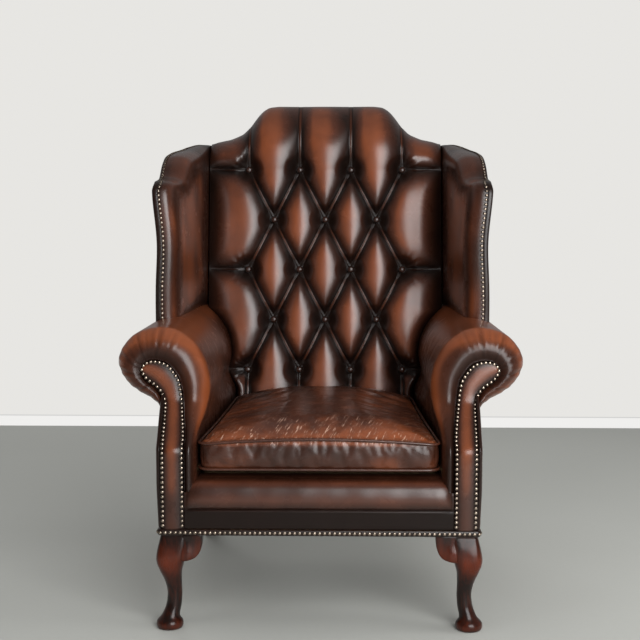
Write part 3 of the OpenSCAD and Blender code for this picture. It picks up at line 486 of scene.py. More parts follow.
def back_relief(x, z, height):
    """How far the hide stands out at each point, how bright it is there, with painted shade and light, and how dark
    its folds are.
    """
    sharp = 3.2
    rim = BACK_HALF + 14
    crowd = np.maximum(rim - np.abs(x), 1) ** -sharp
    strip, crease, glaze_and_shade = (np.zeros(x.shape) for _ in range(3))
    left, right = -rim - x, rim - x
    for (ax, az), (bx, bz), wide_a, wide_b in pleat_lines():
        rx, rz = bx - ax, bz - az
        length = math.hypot(rx, rz)
        t = np.clip(((x - ax) * rx + (z - az) * rz) / length**2, 0, 1)
        off = np.hypot(x - ax - t * rx, z - az - t * rz)
        side = np.sign((x - ax) * rz - (z - az) * rx) * (1 if rx * rz <= 0 else -1)
        half = lerp(wide_a, wide_b, t)
        crowd += np.maximum(off - half, 0.05) ** -sharp
        roll = np.clip(1 - (off / half) ** 2, 0, 1) ** 0.6
        strip = np.maximum(strip, roll * (0.45 + 0.55 * ease(t * length / 24)))
        deep = peak(off - half, 0.3, 1.25)
        crease = np.maximum(crease, deep * np.where(side > 0, 1, 0.6))
        # Glaze and painted shade in a band beside each fold.
        glaze_and_shade = np.maximum(glaze_and_shade, peak(off, half, 7.0))
        if rz:
            across = ax + (z - az) * rx / rz - x
            inside = (z - az) * (z - bz) <= 0
            left = np.maximum(left, np.where(inside & (across <= 0), across, -rim - x))
            right = np.minimum(right, np.where(inside & (across > 0), across, rim - x))
    gap = np.full(x.shape, 1e9)
    for bx, bz in BUTTONS:
        gap = np.minimum(gap, np.hypot(x - bx, z - bz))
    above = ease((z - TOP_ROW - 20) / 110)
    floor = (10 * (1 - ease((np.abs(x) - EDGE_BUTTON) / 60)) + 15 * above) * ease((gap - 9) / 52)
    fold = crowd ** (-1 / sharp) / 37
    dimple = ease((gap - 7) / 32)
    plump = np.minimum(fold ** 0.6, 1.2)
    flat = 1 - 0.24 * ease((np.abs(x) - EDGE_BUTTON + 20) / 60)
    tuft = (floor + (height - 3 - floor) * plump * flat) * (0.1 + 0.9 * dimple) * ease((gap - 8) / 9)
    pucker = np.zeros(x.shape)
    for k, (bx, bz) in enumerate(BUTTONS):
        out = np.sign(bx) if abs(abs(bx) - EDGE_BUTTON) < 1 else 0
        r = np.hypot(x - bx, z - bz)
        angle = np.arctan2(z - bz, (x - bx) * (out or 1))
        aim = np.clip(np.cos(angle - 0.35), 0, 1) if out else 0.3 * np.clip(np.sin(angle), 0, 1)
        fan = np.sin(angle * (13 + k % 3) + k) * peak(r, 29, 15)
        pucker += fan * aim * (1.3 if out else 0.8)
    # Painted shade in the pit round each button.
    pit_shade = peak(gap, 0, 21.0)
    relief = tuft + strip * 1.9 * ease((gap - 6) / 12) - crease * 1.5 + pucker * (1 - strip)
    # Fold darkness: glaze and painted shade in the creases, painted shade in the button pits, and the folded strips
    # darkened and less glossy.
    dark = np.clip(crease * 0.95 + pit_shade * 1.25 + strip * 0.72, 0, 1)
    # Painted shade on the right side of each tuft, fading out over the side panels.
    turn = (-left - right) / np.maximum(right - left, 1)
    shaded = ease((turn + 0.05) / 0.75) * (1 - ease((np.abs(x) - EDGE_BUTTON + 30) / 60))
    # Brightness: rub on the tuft crowns, lowered by glaze and painted shade beside the folds, by painted shade on the
    # right sides and round the buttons, and a little over the side panels; the folded strips are brighter.
    brightness = np.clip((plump * dimple - 0.25) / 0.6, 0, 1) ** 1.1 * (1 - 0.55 * glaze_and_shade) * (1 - 0.6 * shaded)
    brightness *= 1 - 0.45 * peak(gap, 0, 42)
    brightness *= 1 - 0.2 * ease((np.abs(x) - EDGE_BUTTON + 10) / 40)
    rub = brightness * (1 - strip) + strip * 0.9 * ease((gap - 12) / 18)
    # Painted light: the outer corners below the lowest row are made brighter and their fold darkness is lifted.
    corner = ease((BUTTONS[-1][1] - 8 - z) / 14) * ease((np.abs(x) - EDGE_BUTTON - 4) / 6)
    return relief, np.maximum(rub, 0.55 * corner), dark * (1 - 0.85 * corner)


# Arms: t runs from 0 at the front to 1 at the post, and pairs hold a measure at both ends

ARM_OVER = (144.0, 106.0)
ARM_BULGE = (42.0, 46.0)
ARM_PAD = (24.0, 60.0)
# Leather across and up, then frame side across and up, from the neck round the scroll
ARM_SHARES = [
    (-0.86, 0.49, 0.055, 0.523), (-1, 0.62, 0.083, 0.616), (-0.93, 0.723, 0.118, 0.689),
    (-0.7, 0.82, 0.185, 0.738), (-0.24, 0.916, 0.255, 0.779), (0.11, 0.974, 0.332, 0.803),
    (0.326, 1, 0.43, 0.815), (0.555, 0.997, 0.528, 0.816), (0.778, 0.958, 0.61, 0.8),
    (0.93, 0.884, 0.657, 0.772), (1, 0.8, 0.675, 0.742), (0.958, 0.723, 0.648, 0.704),
    (0.86, 0.655, 0.575, 0.668), (0.708, 0.6, 0.49, 0.642), (0.54, 0.558, 0.42, 0.606),
    (0.47, 0.535, 0.39, 0.575), (0.415, 0.512, 0.365, 0.545), (0.375, 0.485, 0.35, 0.52), (0.35, 0.44, 0.338, 0.46),
]


def arm_in(t):
    """The inner face of the arm's frame."""
    return lerp(STUMP_INNER, POST_INNER, t)


def arm_leather(t):
    """The upright face of the hide, inside the padding."""
    return arm_in(t) - lerp(*ARM_PAD, t)


def arm_across(share, t):
    """A share of how far the scroll reaches out over the frame."""
    return arm_in(t) + share * lerp(*ARM_OVER, t)


def arm_up(share):
    """A share of the arm's rise over the rails."""
    return RAIL_TOP + share * ARM_RISE


arm_front = softened([0, KNUCKLE, KNUCKLE + 83, 700], [0, 0, 85, 85 + 0.1 * (700 - KNUCKLE - 83)], 30)


def arm_chains(t, count):
    """The hide round the arm and the frame side of its pad, at one depth share, with matching points."""
    rows = [(arm_leather(t), z, arm_in(t), z) for z in (RAIL_TOP + 0.3, KNUCKLE - 40, KNUCKLE, arm_up(0.36))]
    for a, b, c, d in ARM_SHARES:
        across = arm_in(t) + a * lerp(*ARM_BULGE, t) if a < 0 else arm_across(a, t)
        rows.append((across, arm_up(b), arm_across(c, t), arm_up(d)))
    line = spline(rows, count)
    return line[:, :2], line[:, 2:]


def back_side_table():
    """How far the buttoned back reaches sideways at each height, between the arms and the wings."""
    line, _ = arm_chains(1.0, 120)
    top = int(np.argmax(line[:, 1] > arm_up(0.93)))
    zs = np.r_[line[:top, 1], WING_BASE - 8, 1200]
    xs = np.r_[line[:top, 0], BACK_HALF, BACK_HALF]
    return lambda z: np.minimum(np.interp(z, zs, xs) + 1.5, BACK_HALF)


back_side = back_side_table()


def back_hide(tuft_height):
    """Rings of the tufted pad, one for each column from left to right: the front, the crest and the frame side."""
    columns, rows, crest_rows, rear_rows = 301, 268, 44, 12
    u = np.linspace(-1, 1, columns)
    inner = 0.66
    bottom = DECK_TOP + 0.5
    z_front = np.linspace(bottom, TOP_ROW, rows)
    side = back_side(z_front)[:, None]
    edge = np.minimum(EDGE_BUTTON, side - 4)
    share = np.clip((np.abs(u) - inner) / (1 - inner), 0, 1)[None, :]
    x = np.sign(u) * np.where(np.abs(u) < inner, np.abs(u) / inner * edge, lerp(edge, side, share))
    z = np.repeat(z_front[:, None], columns, 1)
    fade = 1 - np.clip(share, 0, 1) ** 4
    relief, rub, dark = back_relief(x, z, tuft_height)
    spread = np.where(np.abs(u) < inner, 1, fade)
    front = np.stack([x, button_depth(z) - relief * spread, z], -1)
    # Painted shade towards the sides, where the pad turns back beside the wings and arms: darker colour and darker
    # folds.
    side_shade = np.clip(share - 0.72, 0, 1) / 0.28
    rub = rub * (1 - 0.8 * ease((share - 0.35) / 0.6))
    top_x = np.repeat(x[-1:], crest_rows, 0)
    angle = np.linspace(0, math.pi / 2, crest_rows + 1)[1:, None]
    top = crest_top(top_x)
    z_crest = TOP_ROW + (top - TOP_ROW) * np.sin(angle)
    relief_c, crest_wear_and_light, dark_c = back_relief(top_x, z_crest, tuft_height)
    apex = post_front(top) + CREST_APEX
    lift = relief_c * fade * np.cos(angle)
    crest = np.stack([
        top_x, lerp(apex, button_depth(TOP_ROW), np.cos(angle)) - lift,
        z_crest + np.minimum(lift, 2.5) * np.sin(angle) - 0.6 * np.sin(angle) ** 4 * dark_c,
    ], -1)
    # Over the crest: brighter where it rolls over the top, darker again over the top itself, and painted shade
    # towards the sides.
    crest_wear_and_light = np.maximum(crest_wear_and_light, 0.6 * np.sin(angle) ** 6 * (1 - dark_c)) * (1 - 0.35 * ease((share - 0.6) / 0.4))
    crest_wear_and_light *= 1 - 0.28 * np.sin(angle) ** 1.5
    turn = np.linspace(0, math.pi / 2, rear_rows + 1)[1:, None]
    x_r = np.repeat(x[-1:], rear_rows, 0)
    top_r = crest_top(x_r)
    rear = np.stack([
        x_r, post_front(top_r) + CREST_APEX + CREST_BACK * np.sin(turn), top_r - CREST_DROP * (1 - np.cos(turn)),
    ], -1)
    x_t = x[-1]
    top_t = crest_top(x_t)
    flap = [
        np.stack([x_t, post_front(top_t) + CREST_APEX + CREST_BACK, top_t - 27], -1),
        np.stack([x_t, post_front(top_t) + CREST_APEX + 6, top_t - 27], -1),
    ]
    for z_rear in (900.0, 760.0, WING_BASE, 540.0, 480.0, 420.0, bottom):
        x_z = x[int(np.argmin(abs(z_front - z_rear)))]
        flap.append(np.stack([x_z, button_depth(np.full(columns, z_rear)) + 9, np.full(columns, z_rear)], -1))
    grid = np.concatenate([front, crest, rear, np.stack(flap)])
    plain = np.zeros((rear_rows + len(flap), columns))
    rub = np.concatenate([rub, crest_wear_and_light, plain + 0.25])
    # The painted shade at the sides carries up over the crest.
    dark_c = np.maximum(dark_c, side_shade[-1] * 0.5 * np.cos(angle))
    dark = np.concatenate([np.maximum(dark, side_shade * 0.8), dark_c, plain])
    return grid.transpose(1, 0, 2), rub.T, dark.T


def padded_faces(rings, rub, dark):
    """Joins rings of equal count into points, faces and their finish."""
    rings = np.asarray(rings)
    shape = rings.shape[:2]
    rub, dark = (np.broadcast_to(level, shape).ravel() for level in (rub, dark))
    return rings.reshape(-1, 3), tube_faces(*shape), rub, dark


ARM_COUNT = 150
ROLL_DEPTH = 34


def arm_hide_rings():
    """The arm's hide, from the nailed edge of its front roll back to the post."""
    rings, wear_and_light_rows, darks, rolls = [], [], [], []
    for a in np.linspace(0, math.pi / 2, 21):
        opened = 0.03 + 0.97 * math.sin(a) ** 1.05
        swell = 4 * peak(opened, 0, 0.2) - 6.5 * math.sin(math.pi * min(opened, 1)) ** 1.3
        rolls.append((0, ROLL_DEPTH * (1 - math.cos(a)) + swell, opened, 0, math.sin(2 * a)))
    runs = [(t, ROLL_DEPTH, 1, 0, 0) for t in np.linspace(0, 1, 42)[1:-1]]
    ends = [(1, ROLL_DEPTH, opened, short, 0) for opened, short in ((1, 8), (0.95, 3), (0.85, 0.8), (0.7, 0))]
    for t, back, opened, short, gather in rolls + runs + ends:
        hide, inner = arm_chains(t, ARM_COUNT)
        run = run_along(hide)
        scroll = ease((run - 300) / 60) * ease((run[-1] - run) / 20)
        fold = np.sin(run / 2.7) * 0.6 + np.sin(run / 4.3 + 1) * 0.5
        full = 1 + 0.1 * scroll
        place = lerp(inner, hide, np.clip(opened * full + gather * scroll * fold * 0.05, 0.02, None)[:, None])
        chain = np.concatenate([place, inner[::-1]])
        depth = lerp(arm_front(chain[:, 1]) + back, post_back(chain[:, 1]) - short, t)
        rings.append(np.stack([chain[:, 0], depth, chain[:, 1]], -1))
        height = chain[:, 1]
        # Brighter along the top of the arm, partly rub and partly a painted highlight, and across its middle; a
        # brighter band round the outer edge of the front roll; painted shade low down by the seat and towards the
        # back.
        top = peak(height, arm_up(0.98), 26)
        glow = 0.48 + 0.46 * top + 0.2 * peak(height, arm_up(0.55), 60)
        edge = peak(opened, 0.88, 0.16) * 0.34 if t == 0 else 0
        seat_shade = ease((430 - height) / 60)
        wear_and_light_rows.append(np.clip(glow + edge - 0.3 * seat_shade - 0.35 * ease((t - 0.72) / 0.28), 0, 1))
        # Fold darkness: glaze and painted shade in the groove by the nails, painted shade where the arm meets the
        # back and in the hollows of the scroll's gathers.
        dark = np.full(len(chain), 0.9 * peak(opened, 0, 0.55) + 0.6 * ease((t - 0.86) / 0.14))
        dark[:ARM_COUNT] += np.clip(-gather * scroll * fold, 0, 1) * 0.4
        darks.append(np.clip(dark, 0, 1))
    return padded_faces(rings, wear_and_light_rows, darks)


BAND_TOP = 211.3
FACING_SHARES = [
    (0, 0.36, 0.338, 0.36), (0.055, 0.523, 0.35, 0.52), (0.083, 0.616, 0.375, 0.562),
    (0.118, 0.689, 0.42, 0.606), (0.185, 0.738, 0.49, 0.642), (0.255, 0.779, 0.537, 0.655),
    (0.332, 0.803, 0.575, 0.668), (0.43, 0.815, 0.62, 0.686), (0.528, 0.816, 0.648, 0.704),
    (0.61, 0.8, 0.667, 0.728), (0.657, 0.772, 0.675, 0.742),
]


FACING_NARROW, FACING_WIDE = 0, 0.333


def facing_line(count):
    """Near and far edges of the facing, from the band up round the scroll."""
    foot = (BAND_TOP - RAIL_TOP) / ARM_RISE
    rows = [(FACING_NARROW, up, FACING_WIDE, up) for up in (foot, 0.1, 0.28)] + FACING_SHARES
    line = spline([(arm_across(a, 0), arm_up(b), arm_across(c, 0), arm_up(d)) for a, b, c, d in rows], count)
    return line[:, :2], line[:, 2:]


KNUCKLE_KNOB = KNUCKLE - 2


def facing_rings():
    """The narrow padded facing on the front of the arm."""
    near, far = facing_line(120)
    rings, wear_and_light_rows, darks = [], [], []
    share = np.linspace(-1, 1, 15)
    for a, b in zip(near, far):
        width = np.linalg.norm(b - a)
        spots = lerp(a[None, :], b[None, :], ((share + 1) / 2)[:, None])
        crown = (1 - share**2) * 5 * min(1, width / 30)
        knob = 3.4 * peak(spots[:, 1], KNUCKLE_KNOB, 16) * (1 - share**2)
        front = np.stack([spots[:, 0], arm_front(spots[:, 1]) + 1 - crown - knob, spots[:, 1]], -1)
        ends = np.array([[b[0], arm_front(b[1]) + 5, b[1]], [a[0], arm_front(a[1]) + 5, a[1]]])
        rings.append(np.concatenate([front, ends]))
        # Brighter down the middle and darker towards the bottom, with a painted highlight on the knuckle.
        knuckle = peak(spots[:, 1], KNUCKLE, 20)
        level = 0.4 + 0.36 * ease((spots[:, 1] - 262) / 45) + 0.15 * knuckle
        rub = 0.14 + level * np.clip(1 - (share / 0.75) ** 2, 0, 1)
        wear_and_light_rows.append(np.r_[rub, 0.1, 0.1])
        # Fold darkness: a little over the whole facing, and towards the nailed edges glaze and painted shade in the
        # grooves along the nails.
        darks.append(np.r_[0.25 + ease((np.abs(share) - 0.42) / 0.4) * 0.65, 1, 1])
    return padded_faces(rings, wear_and_light_rows, darks)


# Wings: d is the depth, and the outline runs up the front edge and back over the top

WING_RISE = EAR_HEIGHT - WING_BASE
EAR_DEPTH = 80.0
WING_RUN = float(post_back(WING_TOP)) - WING_FRONT - EAR_DEPTH
EAR_SHARES = [(0.03, -0.045), (0, 0.3), (0, 0.6), (0.01, 0.78), (0.05, 0.88), (0.16, 0.955), (0.38, 0.99), (0.7, 1)]
TOP_SHARES = [
    (0.068, 0.06), (0.12, 0.2), (0.165, 0.39), (0.213, 0.54), (0.27, 0.66), (0.38, 0.75),
    (0.53, 0.83), (0.67, 0.93), (0.81, 1), (1, 1),
]
WING_PATH = spline(
    [(WING_FRONT + a * EAR_DEPTH, WING_BASE + b * WING_RISE) for a, b in EAR_SHARES]
    + [(WING_FRONT + EAR_DEPTH + a * WING_RUN, EAR_HEIGHT + b * (WING_TOP - EAR_HEIGHT)) for a, b in TOP_SHARES],
    150,
)
WING_HUB = np.array([WING_FRONT + 280, WING_BASE + 120])
WING_HALF = 368.0
BOARD_THICK = (34, 27)
WING_FOOT = float(WING_PATH[0, 1])


def wing_inset(path, by):
    """The wing's outline drawn in towards its hub."""
    away = WING_HUB - path
    return path + by * away / np.linalg.norm(away, axis=1, keepdims=True)


def wing_back(d):
    """0 at the wing's front edge, 1 at the post."""
    return np.clip((d - WING_FRONT) / (post_front(WING_TOP) - WING_FRONT), 0, 1)


def wing_bow(d, z):
    """How far the outside of the wing bows out between its front edge and the back."""
    return lerp(8, 24, ease((z - 760) / 140)) * np.sin(math.pi * wing_back(d)) ** 1.4


def wing_out(d, z):
    """The outer face of the wing."""
    rise = np.clip((z - WING_BASE - 150) / (WING_RISE - 150), 0, 1)
    fade = np.clip(1 - (d - WING_FRONT) / 190, 0, 1)
    nose = ease((z - EAR_HEIGHT + 24) / 30) * np.clip(1 - (d - WING_FRONT) / 70, 0, 1)
    waist = 5 * peak(z, 763, 75) * fade
    return lerp(WING_HALF, REAR_HALF + 5, wing_back(d)) + wing_bow(d, z) - waist + 9 * rise * rise * fade - 9 * nose


def wing_board(d, z):
    """The face of the wing's frame that carries the inner padding."""
    return wing_out(d, z) - lerp(*BOARD_THICK, wing_back(d))


def wing_upper(d, z):
    """1 along the upper run of the wing, 0 down its front edge."""
    return ease((d - WING_FRONT - 0.45 * EAR_DEPTH) / 30) * ease((z - EAR_HEIGHT + 40) / 20)


def wing_loop(behind):
    """The outline closed down behind the wing and along its foot."""
    zs = np.linspace(WING_TOP, WING_FOOT, 30)[1:-1]
    rear = np.stack([post_back(zs) - behind, zs], -1)
    ds = np.linspace(post_back(WING_FOOT) - behind, WING_PATH[0, 0], 34)[:-1]
    foot = np.stack([ds, np.full(len(ds), WING_FOOT)], -1)
    return np.concatenate([WING_PATH, rear, foot])


WING_ROLL = [
    (9, 20), (3, 20.4), (0.6, 19.5), (0, 17.5), (0, 12), (0.3, 7.5), (1.6, 3), (4, -0.5), (7, -3.2),
    (11, -6), (16, -8.4), (23, -10.8), (32, -12.6), (44, -13.7),
]


def wing_rings():
    """The padded wing, from its hidden side round the front roll to the middle of its inner face."""
    loop = wing_loop(4)
    rings, wear_and_light_rows, darks = [], [], []

    def ring(place, off, rub, dark):
        d, z = place[:, 0], place[:, 1]
        pad = 1 - wing_back(d) ** 3
        wide = off * np.where(np.asarray(off) > 0, lerp(1.3, 1.0, wing_back(d)), pad)
        inner = wing_bow(d, z) * (1 - ease((np.asarray(off) + 10) / 26))
        rings.append(np.stack([wing_board(d, z) + wide - inner, d, z], -1))
        # Painted shade towards the back of the wing, and darker folds where it meets the back; the clouds are a
        # random tone.
        shade = ease((wing_back(d) - 0.42) / 0.4)
        cloud = 0.2 * np.sin(d / 21 + z / 63 + 1) * np.sin(z / 52 - d / 90)
        wear_and_light_rows.append(np.clip((rub + cloud) * (1 - 0.6 * shade), 0, 1))
        darks.append(np.clip(dark + 0.75 * ease((wing_back(d) - 0.78) / 0.14), 0, 1))

    ring(lerp(loop, WING_HUB, 0.9), 6, 0.1, 1)
    ring(wing_inset(loop, 30), 6, 0.1, 1)
    for by, off in WING_ROLL:
        lean_over = wing_upper(*loop.T)[:, None] * max(0.0, off - 6) * 0.22
        # A painted highlight along the inside of the front roll, and painted shade in the crease where the roll meets
        # the inner face.
        glow = 0.38 + 0.22 * peak(by, 8, 9) * (off < 10) - 0.06 * (off > 10)
        lift = 4.5 * wing_upper(*loop.T) if off > 15 else 0
        ring(wing_inset(loop, by + lean_over), off + lift, glow, 0.5 * peak(by, 25, 9))
    inner = wing_inset(loop, WING_ROLL[-1][0])
    for share in (0.1, 0.22, 0.36, 0.52, 0.68, 0.84, 0.95):
        place = lerp(inner, WING_HUB, share)
        ring(place, -14, 0.7 + 0.26 * math.sin(math.pi * share), 0.0)
    return padded_faces(rings, wear_and_light_rows, darks)


EDGE_STRIP = [
    (0.1, -13.2), (-0.5, -12), (-0.6, -7), (0, -2.6), (1.6, -0.8), (5, 0), (11, 0.2), (17.2, 0), (17.6, -2.5),
    (17.2, -4.8), (5, -5), (2.2, -8),
]


def wing_edge_rings():
    """The dark strip outside the nails, one closed section for each point of the outline."""
    rings = []
    upper = wing_upper(*WING_PATH.T)
    for by, off in EDGE_STRIP:
        place = wing_inset(WING_PATH, by + 3.2 * upper[:, None])
        rings.append(np.c_[wing_out(*place.T) + off * (1 - 0.42 * upper * (off < -1)), place])
    return padded_faces(np.stack(rings, 1), 0.2, 0.35)


# Outside covers. Steps: how far in towards the hub, how far out from the frame, and how dark, which darkens each edge
# where it turns into its seam with glaze and painted shade
PANEL_STEPS = [
    (0.8, -5, 1), (0, -5, 1), (0, -2, 0.9), (0.004, -0.5, 0.6), (0.012, 0.1, 0.3), (0.03, 0.5, 0.1),
    (0.1, 1.4, 0), (0.2, 2.2, 0), (0.35, 2.8, 0), (0.55, 3.1, 0), (0.75, 3.2, 0), (0.93, 3.2, 0),
]
ARM_PANEL_STEPS = [
    (0.8, -8, 1), (0, -8, 1), (0, -5, 0.8), (0.004, -2.4, 0.5), (0.01, -0.9, 0.3), (0.02, 0, 0.15), (0.04, 0.6, 0),
    (0.1, 1.2, 0), (0.2, 1.8, 0), (0.35, 2.2, 0), (0.55, 2.4, 0), (0.75, 2.4, 0), (0.93, 2.4, 0),
]


def panel_rings(outline, hub, place, glow=0.36, steps=PANEL_STEPS):
    """A covered panel, from its hidden side round the edge to the middle of its face."""
    rings = [place(*lerp(outline, np.asarray(hub), share).T, rise) for share, rise, _ in steps]
    return padded_faces(rings, [[glow - 0.25 * dark] for _, _, dark in steps], [[dark] for _, _, dark in steps])


def densified(points, step=8.0):
    """A closed outline with extra points along its long sides."""
    points = np.asarray(points, float)
    out = []
    for a, b in zip(points, np.roll(points, -1, 0)):
        parts = max(1, int(np.linalg.norm(b - a) / step))
        out += [lerp(a, b, k / parts) for k in range(parts)]
    return np.array(out)


def rounded(points, radius, steps=6):
    """A closed outline with its corners cut to arcs."""
    points = np.asarray(points, float)
    out = []
    for o, p, q in zip(np.roll(points, 1, 0), points, np.roll(points, -1, 0)):
        a, b = o - p, q - p
        cut = min(radius, 0.45 * np.linalg.norm(a), 0.45 * np.linalg.norm(b))
        start, end = p + a / np.linalg.norm(a) * cut, p + b / np.linalg.norm(b) * cut
        for t in np.linspace(0, 1, steps):
            out.append((1 - t) ** 2 * start + 2 * t * (1 - t) * p + t * t * end)
    return np.array(out)


def side_line(d):
    """Half of the seat frame's width at each depth."""
    return lerp(FRAME_HALF, REAR_HALF, np.clip((d - 60) / (POST_DEPTH - 60), 0, 1))


ARM_PANEL_TOP = 482.0


def arm_panel():
    """The plain cover outside the arm, down to the band."""
    top = ARM_PANEL_TOP
    outline = [(2, BAND_TOP), (2, KNUCKLE), (float(arm_front(top)) + 3, top), (float(post_back(top)), top),
               (float(post_back(RAIL_TOP)), RAIL_TOP), (float(post_back(RAIL_TOP)), BAND_TOP)]

    def place(d, z, rise):
        lean_out = lerp(3, 1.8, np.clip(d / POST_DEPTH, 0, 1))
        x = side_line(d) + 3.4 + lean_out * np.clip((z - BAND_TOP) / 80, 0, 1) + rise
        return np.stack([x, d, z], -1)

    return panel_rings(densified(rounded(outline, 6)), (340, 330), place, 0.5, ARM_PANEL_STEPS)


def wing_panel():
    """The plain cover outside the wing."""
    edge = wing_inset(WING_PATH, 16.4)
    edge = edge[edge[:, 0] < post_back(edge[:, 1]) - 14]
    zs = np.linspace(WING_TOP - 18, WING_FOOT, 40)
    outline = np.concatenate([
        edge, np.stack([post_back(zs), zs], -1),
        np.stack([np.linspace(post_back(WING_FOOT), WING_PATH[0, 0] + 16, 40)[1:-1], np.full(38, WING_FOOT)], -1),
    ])

    def place(d, z, rise):
        return np.stack([wing_out(d, z) - 0.4 + rise * 0.8, d, z], -1)

    return panel_rings(outline, (500, 740), place)


ARM_END_CORNER, ARM_END_CENTRE = (313, 455), np.array([343, 530])


def arm_end():
    """Closes the end of the arm's roll behind the post."""
    hide, _ = arm_chains(1.0, 200)
    keep = hide[(hide > ARM_END_CORNER).all(1)]
    outline = lerp(ARM_END_CENTRE, np.concatenate([[[313, 462]], keep, [[318, 461]]]), 0.985)

    def place(x, z, rise):
        return np.stack([x, post_back(z) + 1.5 + rise, z], -1)

    return panel_rings(outline, ARM_END_CENTRE, place)


def outside_back(foot):
    """Outline of the outside back, up one post, over the arched crest and down the other."""
    xs = np.linspace(-BACK_HALF, BACK_HALF, 140)
    half, low = REAR_HALF + 4.7, WING_TOP - 22
    return np.concatenate([[[-half, foot], [-half, low]], np.c_[xs, crest_top(xs) - 23], [[half, low], [half, foot]]])


def back_panel():
    """The plain cover behind the back."""
    outline = densified(outside_back(BAND_TOP), 9)

    def place(x, z, rise):
        bend = softened([0, RAIL_TOP, 1200], [0, 0, (1200 - RAIL_TOP) * LEAN], 14)(z)
        return np.stack([x, POST_DEPTH + POST_THICK + 5.3 + bend + rise * 1.5, z], -1)

    return panel_rings(outline, (0, 640), place)


BORDER_HALF = 266
# Back and up, from the apron over the roll
BORDER_ROLL = [
    (0, 0), (0.25, 0.02), (-0.55, 0.13), (-0.95, 0.27), (-1, 0.4), (-0.84, 0.58), (-0.46, 0.75),
    (0.2, 0.89), (1.1, 0.97), (3, 1),
]


def border_rings():
    """The padded roll over a flat apron, section by section across the front."""
    roll_z = BAND_TOP + 38
    roll = spline(BORDER_ROLL, 40)
    ends = np.array([3, 3.8]) + BORDER_HALF
    rings, wear_and_light_rows, darks = [], [], []
    for x in np.r_[-ends[::-1], np.linspace(-BORDER_HALF, BORDER_HALF, 161), ends]:
        swell = math.sqrt(max(0.0, 1 - (max(0.0, abs(x) - 232) / 33) ** 2))
        wave = 0.7 * math.sin(x / 23) + 0.5 * math.sin(x / 9.5 + 2)
        front = [(4.8, BAND_TOP), (1.5, BAND_TOP + 0.2), (0.2, BAND_TOP + 2)]
        front += [(0.2 + 0.25 * math.sin(x / 31), z) for z in np.linspace(BAND_TOP + 8, roll_z - 3, 7)]
        bulge = [(d * 10.5 * swell + 1.6 * (1 - swell) + (0.4 * wave if 0.1 < z < 0.9 else 0),
                  roll_z + z * (62 * swell + 39 * (1 - swell))) for d, z in roll]
        top = max(bulge[-1][1], RAIL_TOP)
        rest = [(38, top + 4 * swell), (74, top + 6 * swell), (74.5, RAIL_TOP), (4.8, RAIL_TOP - 3)]
        rings.append([(x, d, z) for d, z in front + bulge + rest])
        # Painted light on the roll: a band across its middle and a brighter band near its top; painted shade in the
        # fold above the apron, over the low ends of the roll and over the whole apron under the roll.
        lit = 0.3 + 0.26 * peak(roll[:, 1], 0.4, 0.2) + 0.3 * peak(roll[:, 1], 0.9, 0.12)
        fold = 0.95 * peak(roll[:, 1], 0.03, 0.06) + 0.7 * (1 - swell)
        wear_and_light_rows.append(np.r_[[0.06] * len(front), lit, [0.3] * len(rest)])
        darks.append(np.clip(np.r_[[0.8] * 3, [0.97] * 7, fold, [0.6] * len(rest)], 0, 1))
    return padded_faces(rings, wear_and_light_rows, darks)


def band_corners(out, front, back):
    """The seat frame's plan, drawn outwards."""
    near, far = side_line(front) + out, REAR_HALF + out
    return [(-near, front), (near, front), (far, back), (-far, back)]


BAND_SECTION = [(0, 0.6), (0.75, 0.4), (1, 2), (1.06, 6.5), (1, 11), (0.75, 12.7), (0, 12.8)]


def band_rings():
    """The nailed band round the foot of the frame, as closed sections along its way round."""
    rear = float(post_back(RAIL_TOP))
    outer = densified(rounded(band_corners(4.4, -2, rear + 6), 5), 7)
    inner = densified(rounded(band_corners(0.6, 4.6, rear + 0.4), 2), 7)
    count = len(outer)
    inner = spline(np.r_[inner, inner[:1]], count + 1)[:-1]
    way = spline(np.r_[outer, outer[:1]], count + 1)[:-1]
    near = [int(np.argmin(np.linalg.norm(inner - p, axis=1))) for p in way]
    rings = [[(*lerp(inner[n], p, share), LEG_HEIGHT + up) for share, up in BAND_SECTION] for p, n in zip(way, near)]
    return np.array(rings).reshape(-1, 3), round_faces(count, len(BAND_SECTION)), 0.22, 0.3


# The loose cushion

CUSHION_BASE = DECK_TOP + 0.3
CUSHION_HALF, CUSHION_HALF_REAR = 243.0, 210.0
CUSHION_FRONT = 2.0
CUSHION_GAP = 46.0
CUSHION_REAR = float(button_depth(RAIL_TOP + 82)) - CUSHION_GAP
BOXING, CROWN, ARCH = 56.0, 32.0, 12.0
CROWN_REACH, UNDERSIDE_INSET = 135, 14
WELT_RADIUS = 3.0


def cushion_width(d):
    """Half of the cushion's width at each depth."""
    t = np.clip((d - CUSHION_FRONT) / (CUSHION_REAR - CUSHION_FRONT), 0, 1)
    return lerp(CUSHION_HALF + 3, CUSHION_HALF_REAR, t) - 3 * np.sin(math.pi * t)


def cushion_outline(by, count=264):
    """The cushion's plan drawn in by an amount, from the front left corner round by the right."""
    corner = max(26 - by / 3, 6)
    front, rear = CUSHION_FRONT + by + corner, CUSHION_REAR - by - corner
    near, far = (float(cushion_width(d)) - by - corner for d in (front, rear))
    arc = np.linspace(0, math.pi / 2, 10)
    across, along = corner * np.cos(arc), corner * np.sin(arc)
    side = np.linspace(front, rear, 40)[1:-1]
    wide = cushion_width(side) - by
    points = np.concatenate([
        np.c_[-near - across, front - along], np.c_[near + along, front - across], np.c_[wide, side],
        np.c_[far + across, rear + along], np.c_[-far - along, rear + across], np.c_[-wide, side][::-1],
    ])
    return sampled(np.r_[points, points[:1]], count, True)


def seam_height(x, share):
    """Height on the boxing between the lower seam and the arched upper one."""
    return CUSHION_BASE + share * BOXING + share**2 * ARCH * (1 - (x / CUSHION_HALF) ** 2)


